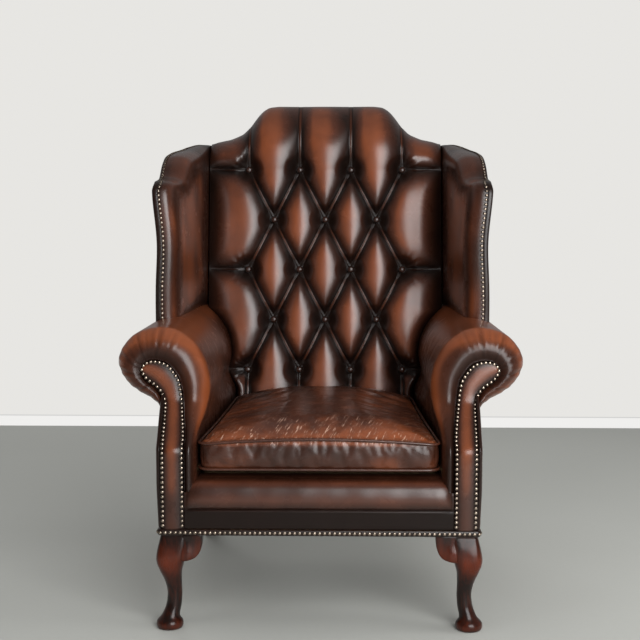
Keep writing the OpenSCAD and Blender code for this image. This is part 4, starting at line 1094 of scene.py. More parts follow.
BOXING_STEPS = [
    (7, 0), (2.5, 0.01), (0.6, 0.04), (-0.6, 0.12), (-2, 0.3), (-2.6, 0.5), (-2.0, 0.72), (-0.6, 0.9), (0.6, 0.97),
]


def cushion_rings(shrink):
    """The boxed cushion from the middle of its underside to the middle of its crown."""
    hub = np.array([0, 0.5 * (CUSHION_FRONT + CUSHION_REAR)])
    edge = 2 * WELT_RADIUS + shrink
    rings = []
    low = cushion_outline(edge + UNDERSIDE_INSET)
    for share in (0.95, 0.8, 0.6, 0.4, 0.2, 0):
        rings.append(np.c_[lerp(low, hub, share), np.full(len(low), CUSHION_BASE + shrink)])
    for by, share in BOXING_STEPS:
        loop = cushion_outline(edge + by)
        rings.append(np.c_[loop, seam_height(loop[:, 0], share) + shrink * (1 - 2 * share)])
    for by in (3, 7, 13, 21, 32, 46, 64, 86, 110, CROWN_REACH):
        loop = cushion_outline(edge + by)
        rise = (CROWN - ARCH) * (1 - (1 - by / CROWN_REACH) ** 2.6) * 0.93
        rings.append(np.c_[loop, seam_height(loop[:, 0], 1) + rise - shrink])
    for share in (0.15, 0.32, 0.5, 0.68, 0.84, 0.96):
        flat = lerp(loop, hub, share)
        rise = (CROWN - ARCH) * (0.93 + 0.07 * share)
        rings.append(np.c_[flat, seam_height(flat[:, 0], 1) + rise - shrink])
    return padded_faces(rings, 0.4, 0.0)


VOXEL = 0.0055
FILL_FRAMES = 20
LARGEST_MOVE = 0.012
SEAM_GRIP = 0.006
FILL = {
    "tension_stiffness": 40, "compression_stiffness": 40, "shear_stiffness": 20, "bending_stiffness": 3.0,
    "mass": 0.4, "quality": 5, "use_pressure": True, "uniform_pressure_force": 3.6,
    "shrink_min": -0.015, "shrink_max": -0.015, "vertex_group_mass": "seams",
}


def smooth_plain(piece):
    """The plain mesh of a piece, shaded smooth."""
    mesh = make_plain(piece)
    mesh.polygons.foreach_set("use_smooth", np.ones(len(mesh.polygons), bool))
    return mesh


def inflate(piece, seams):
    """Fills a closed cover by cloth simulation, held along its seams, and caps how far it moves."""
    remesh = piece.modifiers.new("even", "REMESH")
    remesh.mode = "VOXEL"
    remesh.voxel_size = VOXEL
    before = places_of(smooth_plain(piece))
    held = piece.vertex_groups.new(name="seams")
    for chunk in np.array_split(np.arange(len(before)), 64):
        near = np.min(np.linalg.norm(before[chunk, None, :] - seams[None, :, :], axis=2), axis=1)
        grip = np.clip(1.6 - near / SEAM_GRIP, 0, 1)
        for index, weight in zip(chunk.tolist(), grip.tolist()):
            if weight > 0:
                held.add([index], weight, "REPLACE")
    cloth = piece.modifiers.new("fill", "CLOTH")
    for key, value in FILL.items():
        setattr(cloth.settings, key, value)
    cloth.settings.effector_weights.gravity = 0
    cloth.point_cache.frame_start = 1
    cloth.point_cache.frame_end = FILL_FRAMES
    for step in range(1, FILL_FRAMES + 1):
        bpy.context.scene.frame_set(step)
    mesh = smooth_plain(piece)
    move = places_of(mesh) - before
    far = np.linalg.norm(move, axis=1, keepdims=True)
    after = before + move * np.minimum(1, LARGEST_MOVE / np.maximum(far, 1e-9))
    after[:, 2] = np.maximum(after[:, 2], (CUSHION_BASE + 0.2) * MM)
    mesh.vertices.foreach_set("co", after.ravel())
    piece.vertex_groups.clear()
    bpy.context.scene.frame_set(1)
    fine = piece.modifiers.new("fine", "SUBSURF")
    fine.levels = fine.render_levels = 1
    smooth_plain(piece)


def tint(piece, **layers):
    """Writes finish layers from the place of each point, given in millimetres and depths."""
    co = places_of(piece.data) / MM
    co[:, 1] -= FRONT_Y
    for layer, rule in layers.items():
        write_layer(piece.data, layer, np.clip(rule(*co.T), 0, 1))


# On the top: rubbed brighter towards the front and along the edges, with painted shade towards the back where the
# cushion runs under the buttoned back; the boxing is brighter low down.
def cushion_wear_and_light(x, d, z):
    top = ease((z - CUSHION_BASE - 46) / 12)
    front = peak(d, 24, 34)
    edge = np.maximum(peak(d, 12, 9), peak(cushion_width(d) - np.abs(x), 12, 10))
    side = 0.36 + 0.16 * ease((CUSHION_BASE + 44 - z) / 30)
    return top * (0.52 + 0.26 * front + 0.14 * edge - 0.2 * ease((d - 330) / 200)) + (1 - top) * side


# Fold darkness: glaze and painted shade along the welted seams, painted shade towards the back, and the boxing a
# little darker and less glossy.
def cushion_dark(x, d, z):
    seam = np.minimum(np.abs(z - seam_height(x, 0.96)), np.abs(z - seam_height(x, 0.03)))
    rim = np.maximum(CUSHION_FRONT + 12 - d, np.abs(x) - cushion_width(d) + 12)
    boxing = 0.25 * ease((CUSHION_BASE + 56 - z) / 10)
    return boxing + peak(seam, 0, 4.5) * 0.6 * (rim > -4) + 0.5 * ease((d - 440) / 110)


def cushion_scuff(x, d, z):
    top = ease((z - CUSHION_BASE - 50) / 8)
    right = lerp(0.7, 1.0, ease((x + 40) / 200))
    return top * right * peak(d, 28, 58) + 0.2 * top


def welt_rings(share):
    """A round cord of hide, sewn along one seam of the cushion."""
    path = cushion_outline(WELT_RADIUS - 0.3, 300)
    out = outward(path)
    height = seam_height(path[:, 0], share)
    angles = circle(10)
    pull = 1 + 0.05 * np.sin(np.arange(len(path)) * 2.1)
    thick = WELT_RADIUS * pull
    rings = np.stack([
        np.c_[path + out * (thick * np.cos(a))[:, None], height + thick * np.sin(a)] for a in angles
    ], 1)
    # The outer upper side of the cord is brighter, partly rubbed and partly a painted highlight.
    rub = np.tile(0.34 + 0.3 * np.cos(angles - 0.5), len(path))
    return rings.reshape(-1, 3), round_faces(len(path), len(angles)), rub, 0.0


ZIP_HALF, ZIP_Z, ZIP_TALL = 150.0, CUSHION_BASE + 28, 14.0
ZIP_DEPTH = CUSHION_REAR - 6 + 3.12 + 0.3


def zip_tape_rings():
    """The zip's tape with its folded edges, in sections along its run."""
    rings = []
    inner = np.linspace(4 - ZIP_HALF, ZIP_HALF - 4, 60)
    for x in np.r_[-ZIP_HALF, 0.6 - ZIP_HALF, inner, ZIP_HALF - 0.6, ZIP_HALF]:
        tall = ZIP_TALL / 2 - (0.6 if abs(x) > ZIP_HALF - 0.3 else 0)
        wave = 0.15 * math.sin(x / 6)
        section = [
            (0, -tall), (0.5 + wave, -tall), (1.0 + wave, -tall * 0.5), (0.7, -1.2),
            (0.7, 1.2), (1.0 - wave, tall * 0.5), (0.5 - wave, tall), (0, tall),
        ]
        rings.append([(x, ZIP_DEPTH + out, ZIP_Z + up) for out, up in section])
    return padded_faces(rings, 0.2, 0.0)


def zip_pull_rings():
    """The slider's body with a drop-shaped tab lying along the zip."""
    x0 = ZIP_HALF - 17
    parts = []
    body = [(0, 2.6, 0.4), (0.6, 3.6, 0), (3, 4.4, 0), (7, 4.2, 0), (10.5, 3.0, 0), (11.8, 2.2, 0.4)]
    rings = []
    for x, half, thin in body:
        below = [(thin, half), (1.6 - thin, half), (2.4 - thin, half * 0.6)]
        section = [(depth, -up) for depth, up in below] + below[::-1]
        rings.append([(x0 + x, ZIP_DEPTH + 1.8 + depth, ZIP_Z + up) for depth, up in section])
    parts.append(padded_faces(rings, 0.6, 0.0))
    angles = circle(24)
    tab = []
    for shrink, depth in [(0.82, 2.5), (1, 2.7), (1, 3.2), (0.82, 3.4)]:
        tab.append([(x0 + 5 - 5.6 * math.cos(a) * shrink, ZIP_DEPTH + 1.8 + depth,
                     ZIP_Z + 2.6 * math.sin(a) * shrink * (1 - 0.3 * math.cos(a))) for a in angles])
    parts.append(padded_faces(tab, 0.8, 0.0))
    return joined(parts)


def joined(parts):
    """Several closed shapes as one set of points and faces."""
    points, faces, rub, dark, start = [], [], [], [], 0
    for part in parts:
        points.append(np.asarray(part[0], float).reshape(-1, 3))
        faces += [[i + start for i in face] for face in part[1]]
        for layer, value in ((rub, part[2]), (dark, part[3])):
            layer.append(np.broadcast_to(value, len(points[-1])))
        start += len(points[-1])
    return np.concatenate(points), faces, np.concatenate(rub), np.concatenate(dark)


# Legs and other wood

LEG_ROWS = [
    (0, 1, 22.5, 2), (1.2, 1, 25.2, 2), (5, 1, 27, 2), (10, 1, 27.5, 2), (15, 1, 26.4, 2), (19, 1, 23.4, 2),
    (23, 0.93, 20.2, 2), (30, 0.72, 17.4, 2), (47.5, 0.22, 15.6, 2), (68, 0.1, 15, 2), (84, 0.28, 15.6, 2.1),
    (101, 0.62, 17.8, 2.2), (119, 0.98, 21.6, 2.5), (135, 1.03, 26, 3), (150, 0.85, 29, 3.6), (170, 0.5, 29.3, 4.6),
    (190, 0.1, 28, 6), (198, 0, 27.5, 7), (240, 0, 27.4, 9), (RAIL_TOP, 0, 27.4, 9),
]


LEG_X, LEG_DEPTH = 292.5, 32.5


def leg_rings():
    """The cabriole front leg, from its pad foot to the square block in the frame."""
    angles = circle(64) + math.pi / 64
    rings, wear_and_light_rows = [], []
    for z, off, half, power in spline(LEG_ROWS, 130):
        z, half = min(max(z, 0), RAIL_TOP), max(half, 5)
        radius = half / (np.abs(np.cos(angles)) ** power + np.abs(np.sin(angles)) ** power) ** (1 / power)
        knee = peak(z, 142, 26) * 2.2 * np.clip(np.cos(angles + math.pi / 4), 0, 1) ** 3
        radius = radius + knee
        splay = 4 * (1 - ease(z / 110))
        across = LEG_X + off * 8 + splay + radius * np.cos(angles)
        rings.append(np.c_[across, LEG_DEPTH - off * 8 + radius * np.sin(angles), np.full(len(angles), z)])
        wear_and_light_rows.append(0.2 + 0.62 * peak(z, 140, 27) * np.clip(np.cos(angles + math.pi / 4) + 0.5, 0, 1)
                    + 0.3 * peak(z, 8, 9))
    return padded_faces(rings, wear_and_light_rows, 0.0)


REAR_LEG_X, REAR_LEG_RAKE, POST_TOP = 291, 62, 957
REAR_LEG_WIDE, REAR_LEG_DEEP = 31, 33


def rear_leg_rings():
    """The back post, with its leg raked back under the frame."""
    rings = []
    zs = np.r_[0, 0.8, np.linspace(6, LEG_HEIGHT, 26), 240, RAIL_TOP, 400, 700, POST_TOP]
    corner = rounded([(-1, -1), (1, -1), (1, 1), (-1, 1)], 0.22, 4)
    for z in zs:
        low = max(0.0, 1 - z / LEG_HEIGHT)
        front = POST_DEPTH + REAR_LEG_RAKE * low**1.35 if z < LEG_HEIGHT else float(post_front(max(z, RAIL_TOP)))
        thick = lerp(POST_THICK, REAR_LEG_DEEP, low)
        eased = 0.8 if z == 0 else 0
        wide, deep = lerp(POST_THICK, REAR_LEG_WIDE, low) / 2 - eased, thick / 2 - eased
        rings.append([(REAR_LEG_X + a * wide, front + thick / 2 + b * deep, z) for a, b in corner])
    return padded_faces(rings, 0.3, 0.0)


KNEE_BLOCK = [
    (-0.4, 1), (-0.42, 0.48), (-0.44, 0.11), (-0.42, 0), (0.08, 0.03), (0.5, 0.12), (0.8, 0.32), (0.95, 0.6), (1, 1),
]


BLOCK_STEPS = [
    (0.9, 0), (0.7, 0), (0.5, 0), (0.3, 0), (0.15, 0), (0.06, 0.3), (0.015, 1), (0, 2.6), (0, 24.2),
    (0.02, 25.5), (0.08, 26), (0.5, 26),
]


def block_rings(place):
    """A shaped knee block with its edges eased."""
    outline = spline([(a * 30, (b - 1) * 54) for a, b in KNEE_BLOCK], 60)
    centre = np.array([6.0, -20.0])
    rings, wear_and_light_rows = [], []
    for share, depth in BLOCK_STEPS:
        flat = lerp(outline, centre, share)
        low = peak(flat[:, 1], -44, 24)
        swell = 6.5 * low * np.clip(1 - flat[:, 0] / 24, 0, 1) ** 1.5 * (1 - depth / 26)
        rings.append(place(flat[:, 0], flat[:, 1], depth - swell))
        wear_and_light_rows.append(0.22 + 0.42 * low)
    return padded_faces(rings, wear_and_light_rows, 0.0)


def knee_block_parts():
    """The two shaped blocks beside each knee."""
    inner = block_rings(lambda a, b, d: np.stack([264.7 - a, 5.2 + d, LEG_HEIGHT + b], -1))
    outer = block_rings(lambda a, b, d: np.stack([319.7 - d, 60.3 + a, LEG_HEIGHT + b], -1))
    parts = [inner, outer]
    parts += [(mirrored(points), faces, rub, dark) for points, faces, rub, dark in parts]
    return joined(parts)


PLATFORM_LOW = 281.0
PLATFORM_STEPS = [
    (0.9, 0), (0.02, 0), (0, 0.06), (0, 0.8), (0.008, 0.93), (0.025, 0.985), (0.06, 1), (0.5, 1), (0.93, 1),
]
STUFFING_STEPS = [(0.9, 2), (0.02, 2), (0, 4), (0, 32), (0.02, 37), (0.06, 39), (0.5, 39.5), (0.93, 39.5)]


def platform_rings():
    """The sewn platform under the cushion, softened at its edges."""
    front, rear = 75.6, POST_DEPTH - BUTTON_INSET - 0.4
    near, far = (float(arm_leather(t)) - 1.2 for t in (front / POST_DEPTH, 1))
    outline = densified(rounded([(-near, front), (near, front), (far, rear), (-far, rear)], 12), 9)

    def place(x, d, up):
        return np.c_[x, d, np.full(len(x), PLATFORM_LOW + up * (DECK_TOP - PLATFORM_LOW))]

    return panel_rings(outline, (0, 330), place, 0.3, [(*step, 0) for step in PLATFORM_STEPS])


def back_stuffing_rings():
    """The stuffing behind the buttoned hide."""
    low, high = float(arm_leather(1)) - 8, POST_INNER - 4
    right = [(low, DECK_TOP + 2), (low, WING_BASE - 2), (high, WING_BASE + 12), (high, 930)]
    outline = densified(rounded([(-low, DECK_TOP + 2), *right, *((-x, z) for x, z in right[:0:-1])], 14), 14)

    def place(x, z, out):
        return np.c_[x, post_front(z) - out, z]

    return panel_rings(outline, (0, 640), place, 0.3, [(*step, 0) for step in STUFFING_STEPS])


# What repeats: nails, buttons and zip teeth

NAIL_HEIGHT = 2.6
BUTTON_STAND = 9.0


def stud_tree():
    """Geometry nodes that set a stud on every point, turned along the point's facing."""
    tree = bpy.data.node_groups.new("Rows of studs", "GeometryNodeTree")
    for label, kind in (
        ("Geometry", "Geometry"), ("Stud", "Object"), ("Finish", "Material"),
        ("Smallest", "Float"), ("Tilt", "Float"), ("Seed", "Int"),
    ):
        tree.interface.new_socket(label, in_out="INPUT", socket_type=f"NodeSocket{kind}")
    tree.interface.new_socket("Geometry", in_out="OUTPUT", socket_type="NodeSocketGeometry")

    def add(kind, settings=None, **inputs):
        node = tree.nodes.new(kind)
        for key, value in (settings or {}).items():
            setattr(node, key, value)
        for key, value in inputs.items():
            socket = node.inputs[key.replace("_", " ")]
            if isinstance(value, bpy.types.NodeSocket):
                tree.links.new(value, socket)
            else:
                socket.default_value = value
        return node

    given = add("NodeGroupInput").outputs
    facing = add("GeometryNodeInputNamedAttribute", {"data_type": "FLOAT_VECTOR"}, Name="facing")
    wobble = add("FunctionNodeRandomValue", {"data_type": "FLOAT_VECTOR"}, Seed=given["Seed"])
    wobble.inputs[0].default_value = (-1, -1, -1)
    wobble.inputs[1].default_value = (1, 1, 1)
    tilt = add("ShaderNodeVectorMath", {"operation": "SCALE"}, Vector=wobble.outputs[0], Scale=given["Tilt"])
    aim = add("ShaderNodeVectorMath", {"operation": "ADD"})
    tree.links.new(facing.outputs["Attribute"], aim.inputs[0])
    tree.links.new(tilt.outputs[0], aim.inputs[1])
    turn = add("FunctionNodeAlignRotationToVector", {"axis": "Z"}, Vector=aim.outputs[0])
    size = add("FunctionNodeRandomValue", {"data_type": "FLOAT"}, Seed=given["Seed"])
    floats = [s for s in size.inputs if s.type == "VALUE" and s.enabled]
    tree.links.new(given["Smallest"], floats[0])
    floats[1].default_value = 1.0
    number = next(s for s in size.outputs if s.enabled)
    stud = add("GeometryNodeObjectInfo", {}, Object=given["Stud"], As_Instance=True)
    rows = add("GeometryNodeInstanceOnPoints", {}, Points=given["Geometry"], Instance=stud.outputs["Geometry"],
               Rotation=turn.outputs[0], Scale=number)
    whole = add("GeometryNodeRealizeInstances", {}, Geometry=rows.outputs[0])
    done = add("GeometryNodeSetMaterial", {}, Geometry=whole.outputs[0], Material=given["Finish"])
    tree.links.new(done.outputs[0], add("NodeGroupOutput").inputs[0])
    return tree


def dome(name, radius, height, around, rings, skirt=0.0, brightness=1.0):
    """A low dome with a flat base, in millimetres, standing along Z."""
    points, rub = [(0, 0, height)], [brightness]
    ring = [(radius * math.cos(b), radius * math.sin(b)) for b in circle(around)]
    for k in range(1, rings + 1):
        a = 0.5 * math.pi * k / rings
        points += [(math.sin(a) * x, math.sin(a) * y, height * math.cos(a)) for x, y in ring]
        rub += [math.cos(a) * brightness] * around
    points += [(0.9 * x, 0.9 * y, -skirt - 0.4) for x, y in ring]
    rub += [0.0] * around
    faces = [[0, 1 + j, 1 + (j + 1) % around] for j in range(around)]
    for k in range(rings):
        for j in range(around):
            after = (j + 1) % around
            faces.append([1 + k * around + i for i in (j, around + j, around + after, after)])
    faces.append([1 + rings * around + j for j in range(around)][::-1])
    mesh = bpy.data.meshes.new(name)
    mesh.from_pydata([tuple(c * MM for c in p) for p in points], [], faces)
    write_layer(mesh, "rub", rub)
    # Darker towards the rim; on the covered buttons this is painted shade where they sink into their pits.
    write_layer(mesh, "crease", [0.6 * (brightness - r) for r in rub])
    for polygon in mesh.polygons:
        polygon.use_smooth = len(polygon.vertices) < 6
    return bpy.data.objects.new(name, mesh)


def rows_of(name, places, facings, stud, finish, smallest, tilt, seed):
    """One plain mesh of studs set on the given places."""
    mesh = bpy.data.meshes.new(name)
    mesh.from_pydata(to_world(places).tolist(), [], [])
    facing = mesh.attributes.new("facing", "FLOAT_VECTOR", "POINT")
    facing.data.foreach_set("vector", np.asarray(facings, float).ravel())
    piece = link(bpy.data.objects.new(name, mesh))
    tree = bpy.data.node_groups.get("Rows of studs") or stud_tree()
    modifier = piece.modifiers.new("rows", "NODES")
    modifier.node_group = tree
    values = {"Stud": link(stud), "Finish": finish_named(finish), "Smallest": smallest, "Tilt": tilt, "Seed": seed}
    for item in tree.interface.items_tree:
        if item.in_out == "INPUT" and item.name in values:
            modifier[item.identifier] = values[item.name]
    make_plain(piece)
    bpy.data.objects.remove(stud)
    return piece


def paced(path, pitch, closed=False, room=1.0):
    """Points at an even pitch along a path, with the shift that leaves no short space; room widens the pitch."""
    loop = np.r_[path, path[:1]] if closed else path
    count = max(2, round(run_along(loop, room)[-1] / pitch) + (0 if closed else 1))
    return sampled(loop, count, closed, room)


def inward(outline, by):
    """A closed flat outline moved towards its inside."""
    area = np.sum(outline[:, 0] * np.roll(outline[:, 1], -1) - np.roll(outline[:, 0], -1) * outline[:, 1])
    return outline - outward(outline) * by * np.sign(area)


def facing_nail_rows(pitch):
    """Nails up one edge of the facing, round the scroll and down the other."""
    near, far = facing_line(400)
    across = (far - near) / np.linalg.norm(far - near, axis=1, keepdims=True)
    keep = near[:, 1] > LEG_HEIGHT + 20
    left, right = (near + across * 4.6)[keep], (far - across * 4.6)[keep]
    room = np.linalg.norm(right - left, axis=1) > 1.5
    room[: len(room) // 2] = True
    line = np.concatenate([left[room], right[room][::-1]])
    path = paced(np.c_[line, arm_front(line[:, 1])], pitch, room=lerp(0.98, 0.88, ease((line[1:, 1] - 505) / 15)))
    slope = (arm_front(path[:, 1] + 1) - arm_front(path[:, 1] - 1)) / 2
    places = np.stack([path[:, 0], arm_front(path[:, 1]) - 1.6, path[:, 1]], -1)
    facings = np.stack([0 * slope, -np.ones(len(slope)), slope], -1)
    return twice(places, facings)


def twice(places, facings):
    """Rows of the right side and their twins on the left."""
    return np.concatenate([places, mirrored(places)]), np.concatenate([facings, mirrored(facings)])


def wing_nail_rows(pitch):
    """Nails round the front and top of the wing, which turn from its edge to its outer face."""
    path = paced(WING_PATH[3:-4], pitch)
    fine = WING_PATH
    nearest = [int(np.argmin(np.linalg.norm(fine - p, axis=1))) for p in path]
    run = np.array([fine[min(i + 1, len(fine) - 1)] - fine[max(i - 1, 0)] for i in nearest])
    normal = np.stack([-run[:, 1], run[:, 0]], 1) / np.linalg.norm(run, axis=1, keepdims=True)
    upper = wing_upper(*path.T)
    places = np.stack([wing_out(*path.T) - lerp(15.2, 7.2, upper), path[:, 0], path[:, 1]], -1)
    places[:, 1:] += normal * lerp(0.2, -2.6, upper)[:, None]
    return twice(places, np.stack([0.5 * upper, normal[:, 0], normal[:, 1]], -1))


def band_nail_rows(pitch):
    """Nails round the foot of the frame."""
    rear = float(post_back(RAIL_TOP))
    path = paced(densified(rounded(band_corners(4.8, -2.4, rear + 6.4), 6), 3), pitch, True)
    return np.c_[path, np.full(len(path), LEG_HEIGHT + 6.6)], np.c_[outward(path), np.zeros(len(path))]


def back_nail_rows(pitch):
    """Nails up the sides of the outside back and over its crest."""
    path = inward(densified(outside_back(216), 6), 8)
    path = path[path[:, 1] > 228]
    start = int(np.argmax(np.linalg.norm(np.diff(np.r_[path, path[:1]], axis=0), axis=1))) + 1
    path = paced(np.roll(path, -start, 0), pitch)
    lean_in = (path[:, 1] > RAIL_TOP) * LEAN
    depth = POST_DEPTH + POST_THICK + 5.6 + np.maximum(path[:, 1] - RAIL_TOP, 0) * LEAN
    return np.c_[path[:, 0], depth, path[:, 1]], np.c_[0 * lean_in, np.ones(len(path)), -lean_in]


def zip_teeth_rows():
    """Two staggered rows of teeth."""
    xs = np.arange(-ZIP_HALF + 5, ZIP_HALF - 4, 2.6)
    places = [(x + (1.3 if up > 0 else 0), ZIP_DEPTH + 0.6, ZIP_Z + up) for x in xs for up in (-1.1, 1.1)]
    return places, [(0, 1, 0)] * len(places)


# Finishes of wood, cloth and metal

BLACK, WHITE = (0, 0, 0), (1, 1, 1)
HORSEHAIR = (0.3, 0.2, 0.08)
BEECH_GRAIN = (0.1, 0.05, 0.02)


def wood_finish(name, dark, bright, coat, scale=1.0, rubbed=True):
    """Streaked wood, brighter where its edges are rubbed."""
    finish = Finish(name, coat_weight=coat, coat_roughness=0.14, specular_ior_level=0.2)
    grain = finish.noise(9.0 * scale, 5.0, 0.62, finish.stretched((6, 6, 1.6)), 0.8)
    fibres = finish.noise(120.0 * scale, 2.0, 0.6, finish.stretched((3, 3, 0.25)))
    level = grain * 0.75 + fibres * 0.35 - 0.1
    if rubbed:
        level = (level - 0.45) * 1.1 + finish.layer("rub") * 0.85 - 0.02
    colour = finish.ramp(level, [(0.12, dark), (0.5, lerp_colour(dark, bright, 0.45)), (0.95, bright)])
    normal = finish.bump(fibres + grain * 0.3, 0.12, 0.0003)
    return finish.show(base_color=colour, roughness=0.34 - level * 0.1, normal=normal)


def woven_finish(name, ground, stripe, pitch=0.0012, stripes=0.0):
    """Cloth of crossed threads, with woven bars where stripes has a pitch."""
    finish = Finish(name, specular_ior_level=0.25)
    turn = 2 * math.pi / pitch
    x, y, z = finish.axes()
    warp = finish.maths("SINE", x * turn)
    weft = finish.maths("SINE", (y + z) * turn)
    weave = warp * weft * 0.5 + 0.5
    fuzz = finish.noise(300.0, 3.0, 0.7)
    shade = finish.blend(weave * 0.5 + fuzz * 0.5, ground, stripe)
    if stripes:
        bars = finish.maths("SINE", x * (2 * math.pi / stripes)).between(0.6, 0.8)
        shade = finish.blend(bars * 0.5, shade, lerp_colour(stripe, BLACK, 0.5))
    stains = finish.noise(12.0, 3.0, 0.6)
    shade = finish.blend(stains * 0.4, shade, lerp_colour(ground, BLACK, 0.3))
    normal = finish.bump(weave + fuzz * 0.3, 0.35, 0.0004)
    return finish.show(base_color=shade, roughness=0.8 + fuzz * 0.12, normal=normal)


def foam_finish(colours):
    """Clumped hair and foam."""
    finish = Finish("Stuffing", specular_ior_level=0.2)
    holes = finish.cells(420.0)
    clumps = finish.noise(40.0, 4.0, 0.6)
    mixed = lerp_colour(colours.stuffing, HORSEHAIR, 0.5)
    shade = finish.blend(clumps * 0.6 + holes * 0.3, colours.stuffing, mixed)
    roughness = 0.92 - clumps * 0.06
    return finish.show(base_color=shade, roughness=roughness, normal=finish.bump(holes + clumps, 0.5, 0.0012))


def metal_finish(name, tone, tarnish):
    """Metal that is tarnished between its rubbed places."""
    finish = Finish(name, metallic=1.0)
    clouds = finish.noise(55.0, 3.0, 0.6)
    scratches = finish.noise(700.0, 2.0, 0.6)
    rub = finish.layer("rub")
    brightness = (clouds * 0.9 + rub * 0.55 - 0.3).between(0.1, 0.75)
    shade = finish.blend(brightness, tarnish, tone)
    roughness = 0.46 - brightness * 0.2 + scratches * 0.08
    height = clouds + scratches * 0.4
    return finish.show(base_color=shade, roughness=roughness, normal=finish.bump(height, 0.2, 0.0003))


# Sizes and colours that a user may change


def length_property(label, note, default, low, high):
    return bpy.props.FloatProperty(
        name=label, description=note, default=default, min=low, max=high, unit="LENGTH", precision=4)


def colour_property(label, note, default):
    return bpy.props.FloatVectorProperty(
        name=label, description=note, default=(*default, 1.0), size=4, min=0, max=1, subtype="COLOR")


class WingChairSizes(bpy.types.PropertyGroup):
    """Sizes of the dressing, which don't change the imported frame"""

    tuft_height: length_property(
        "Tuft height", "How far the tufts stand in front of their buttons", 0.038, 0.024, 0.042)
    button_radius: length_property("Button radius", "Radius of a covered button", 0.0084, 0.007, 0.010)
    nail_radius: length_property("Nail radius", "Radius of a nail head", 0.0039, 0.0035, 0.0052)
    nail_pitch: length_property("Nail pitch", "Distance from one nail to the next", 0.010, 0.0095, 0.02)
    cushion_swell: bpy.props.FloatProperty(
        name="Cushion fill", description="How full the seat cushion is, from slack to tight",
        default=0.8, min=0.3, max=1.0, subtype="FACTOR")


class WingChairColours(bpy.types.PropertyGroup):
    """Colours of hide, wood, cloth and metal"""

    # The glazed colour is what the folds' glaze and painted shade blend to; the rubbed colour is also reached by
    # painted highlights.
    hide_dark: colour_property("Hide, glazed", "Dark glaze left in folds", (0.0056, 0.0027, 0.0019))
    hide_mid: colour_property("Hide", "Middle tone of the hide", (0.050, 0.0146, 0.0070))
    hide_bright: colour_property("Hide, rubbed", "Where the hide is rubbed bright", (0.160, 0.0415, 0.0136))
    hide_scuff: colour_property("Scuffs", "Scuffed scratches on the seat", (0.42, 0.26, 0.19))
    mahogany_dark: colour_property("Mahogany, dark", "Shaded grain of the legs", (0.0065, 0.0026, 0.0018))
    mahogany_bright: colour_property("Mahogany, bright", "Polished grain of the legs", (0.090, 0.0145, 0.0042))
    beech: colour_property("Beech", "Bare wood of the frame", (0.48, 0.31, 0.16))
    nail_metal: colour_property("Nail metal", "Rubbed metal of the nails", (0.44, 0.36, 0.29))
    nail_tarnish: colour_property("Nail tarnish", "Tarnish between the rubbed places", (0.045, 0.031, 0.022))
    canvas: colour_property("Canvas", "Webbing and platform cloth", (0.24, 0.17, 0.09))
    stuffing: colour_property("Stuffing", "Hair and foam filling", (0.62, 0.52, 0.33))
    floor: colour_property("Floor", "Pale floor", (0.365, 0.37, 0.345))
    wall: colour_property("Wall", "Pale wall behind the chair", (0.80, 0.79, 0.765))


def sizes():
    return bpy.context.scene.wing_chair_sizes


def colours():
    return bpy.context.scene.wing_chair_colours


FINISHES = {}


def finish_named(name):
    """Each finish is made once, when a piece first asks for it."""
    if name not in FINISHES:
        c = colours()
        makers = {
            "hide": lambda: hide_finish("Antique hide", c),
            "seat_hide": lambda: hide_finish("Seat hide", c, tone=0.09, mottle=1.05, wear=0.95),
            "dark_hide": lambda: hide_finish("Dark hide", c, tone=-0.12, mottle=0.35),
            "mahogany": lambda: wood_finish("Polished mahogany", c.mahogany_dark, c.mahogany_bright, 0.26),
            "beech": lambda: wood_finish(
                "Bare beech", lerp_colour(c.beech, BEECH_GRAIN, 0.4), c.beech, 0.0, 1.6, False),
            "webbing": lambda: woven_finish("Webbing", c.canvas, lerp_colour(c.canvas, WHITE, 0.2), 0.0022, 0.016),
            "platform": lambda: woven_finish("Platform cloth", lerp_colour(c.canvas, c.hide_dark, 0.6), c.canvas),
            "dust": lambda: woven_finish("Dust cloth", (0.012, 0.011, 0.010), (0.03, 0.028, 0.026), 0.0015),
            "tape": lambda: woven_finish("Zip tape", (0.02, 0.012, 0.008), (0.05, 0.032, 0.022), 0.0009),
            "stuffing": lambda: foam_finish(c),
            "nail": lambda: metal_finish("Aged nail metal", c.nail_metal, c.nail_tarnish),
            "zip_metal": lambda: metal_finish("Zip metal", (0.55, 0.40, 0.19), (0.14, 0.09, 0.04)),
        }
        FINISHES[name] = makers[name]()
    return FINISHES[name]


def dress(nodes, finish):
    """Gives CAD nodes that show as they are a procedural finish."""
    for node in nodes:
        for slot in bpy.data.objects[node].material_slots:
            slot.material = finish_named(finish)


def make_piece(name, made, finish, sharp=None):
    """Makes a piece of points, faces, rub and darkness, both of which carry painted light and shade."""
    points, faces, rub, dark = made
    return add_piece(name, points, faces, rub, finish_named(finish), dark, sharp)


def make_both(name, made, finish, slot, node, fill=None, sharp=None):
    """Makes a piece of the right side and its twin on the left, each in place of its own node."""
    for side in ("right", "left"):
        place = made[0] if side == "right" else mirrored(made[0])
        piece = make_piece(f"{name}_{side}", (place, *made[1:]), finish, sharp)
        seat(piece, "chair", slot, [f"{node}_{side}"], fill)


# Operators


class PieceOperator:
    """What the operators of the chair share"""

    bl_options = {"REGISTER", "UNDO"}

    def execute(self, context):
        self.make()
        return {"FINISHED"}


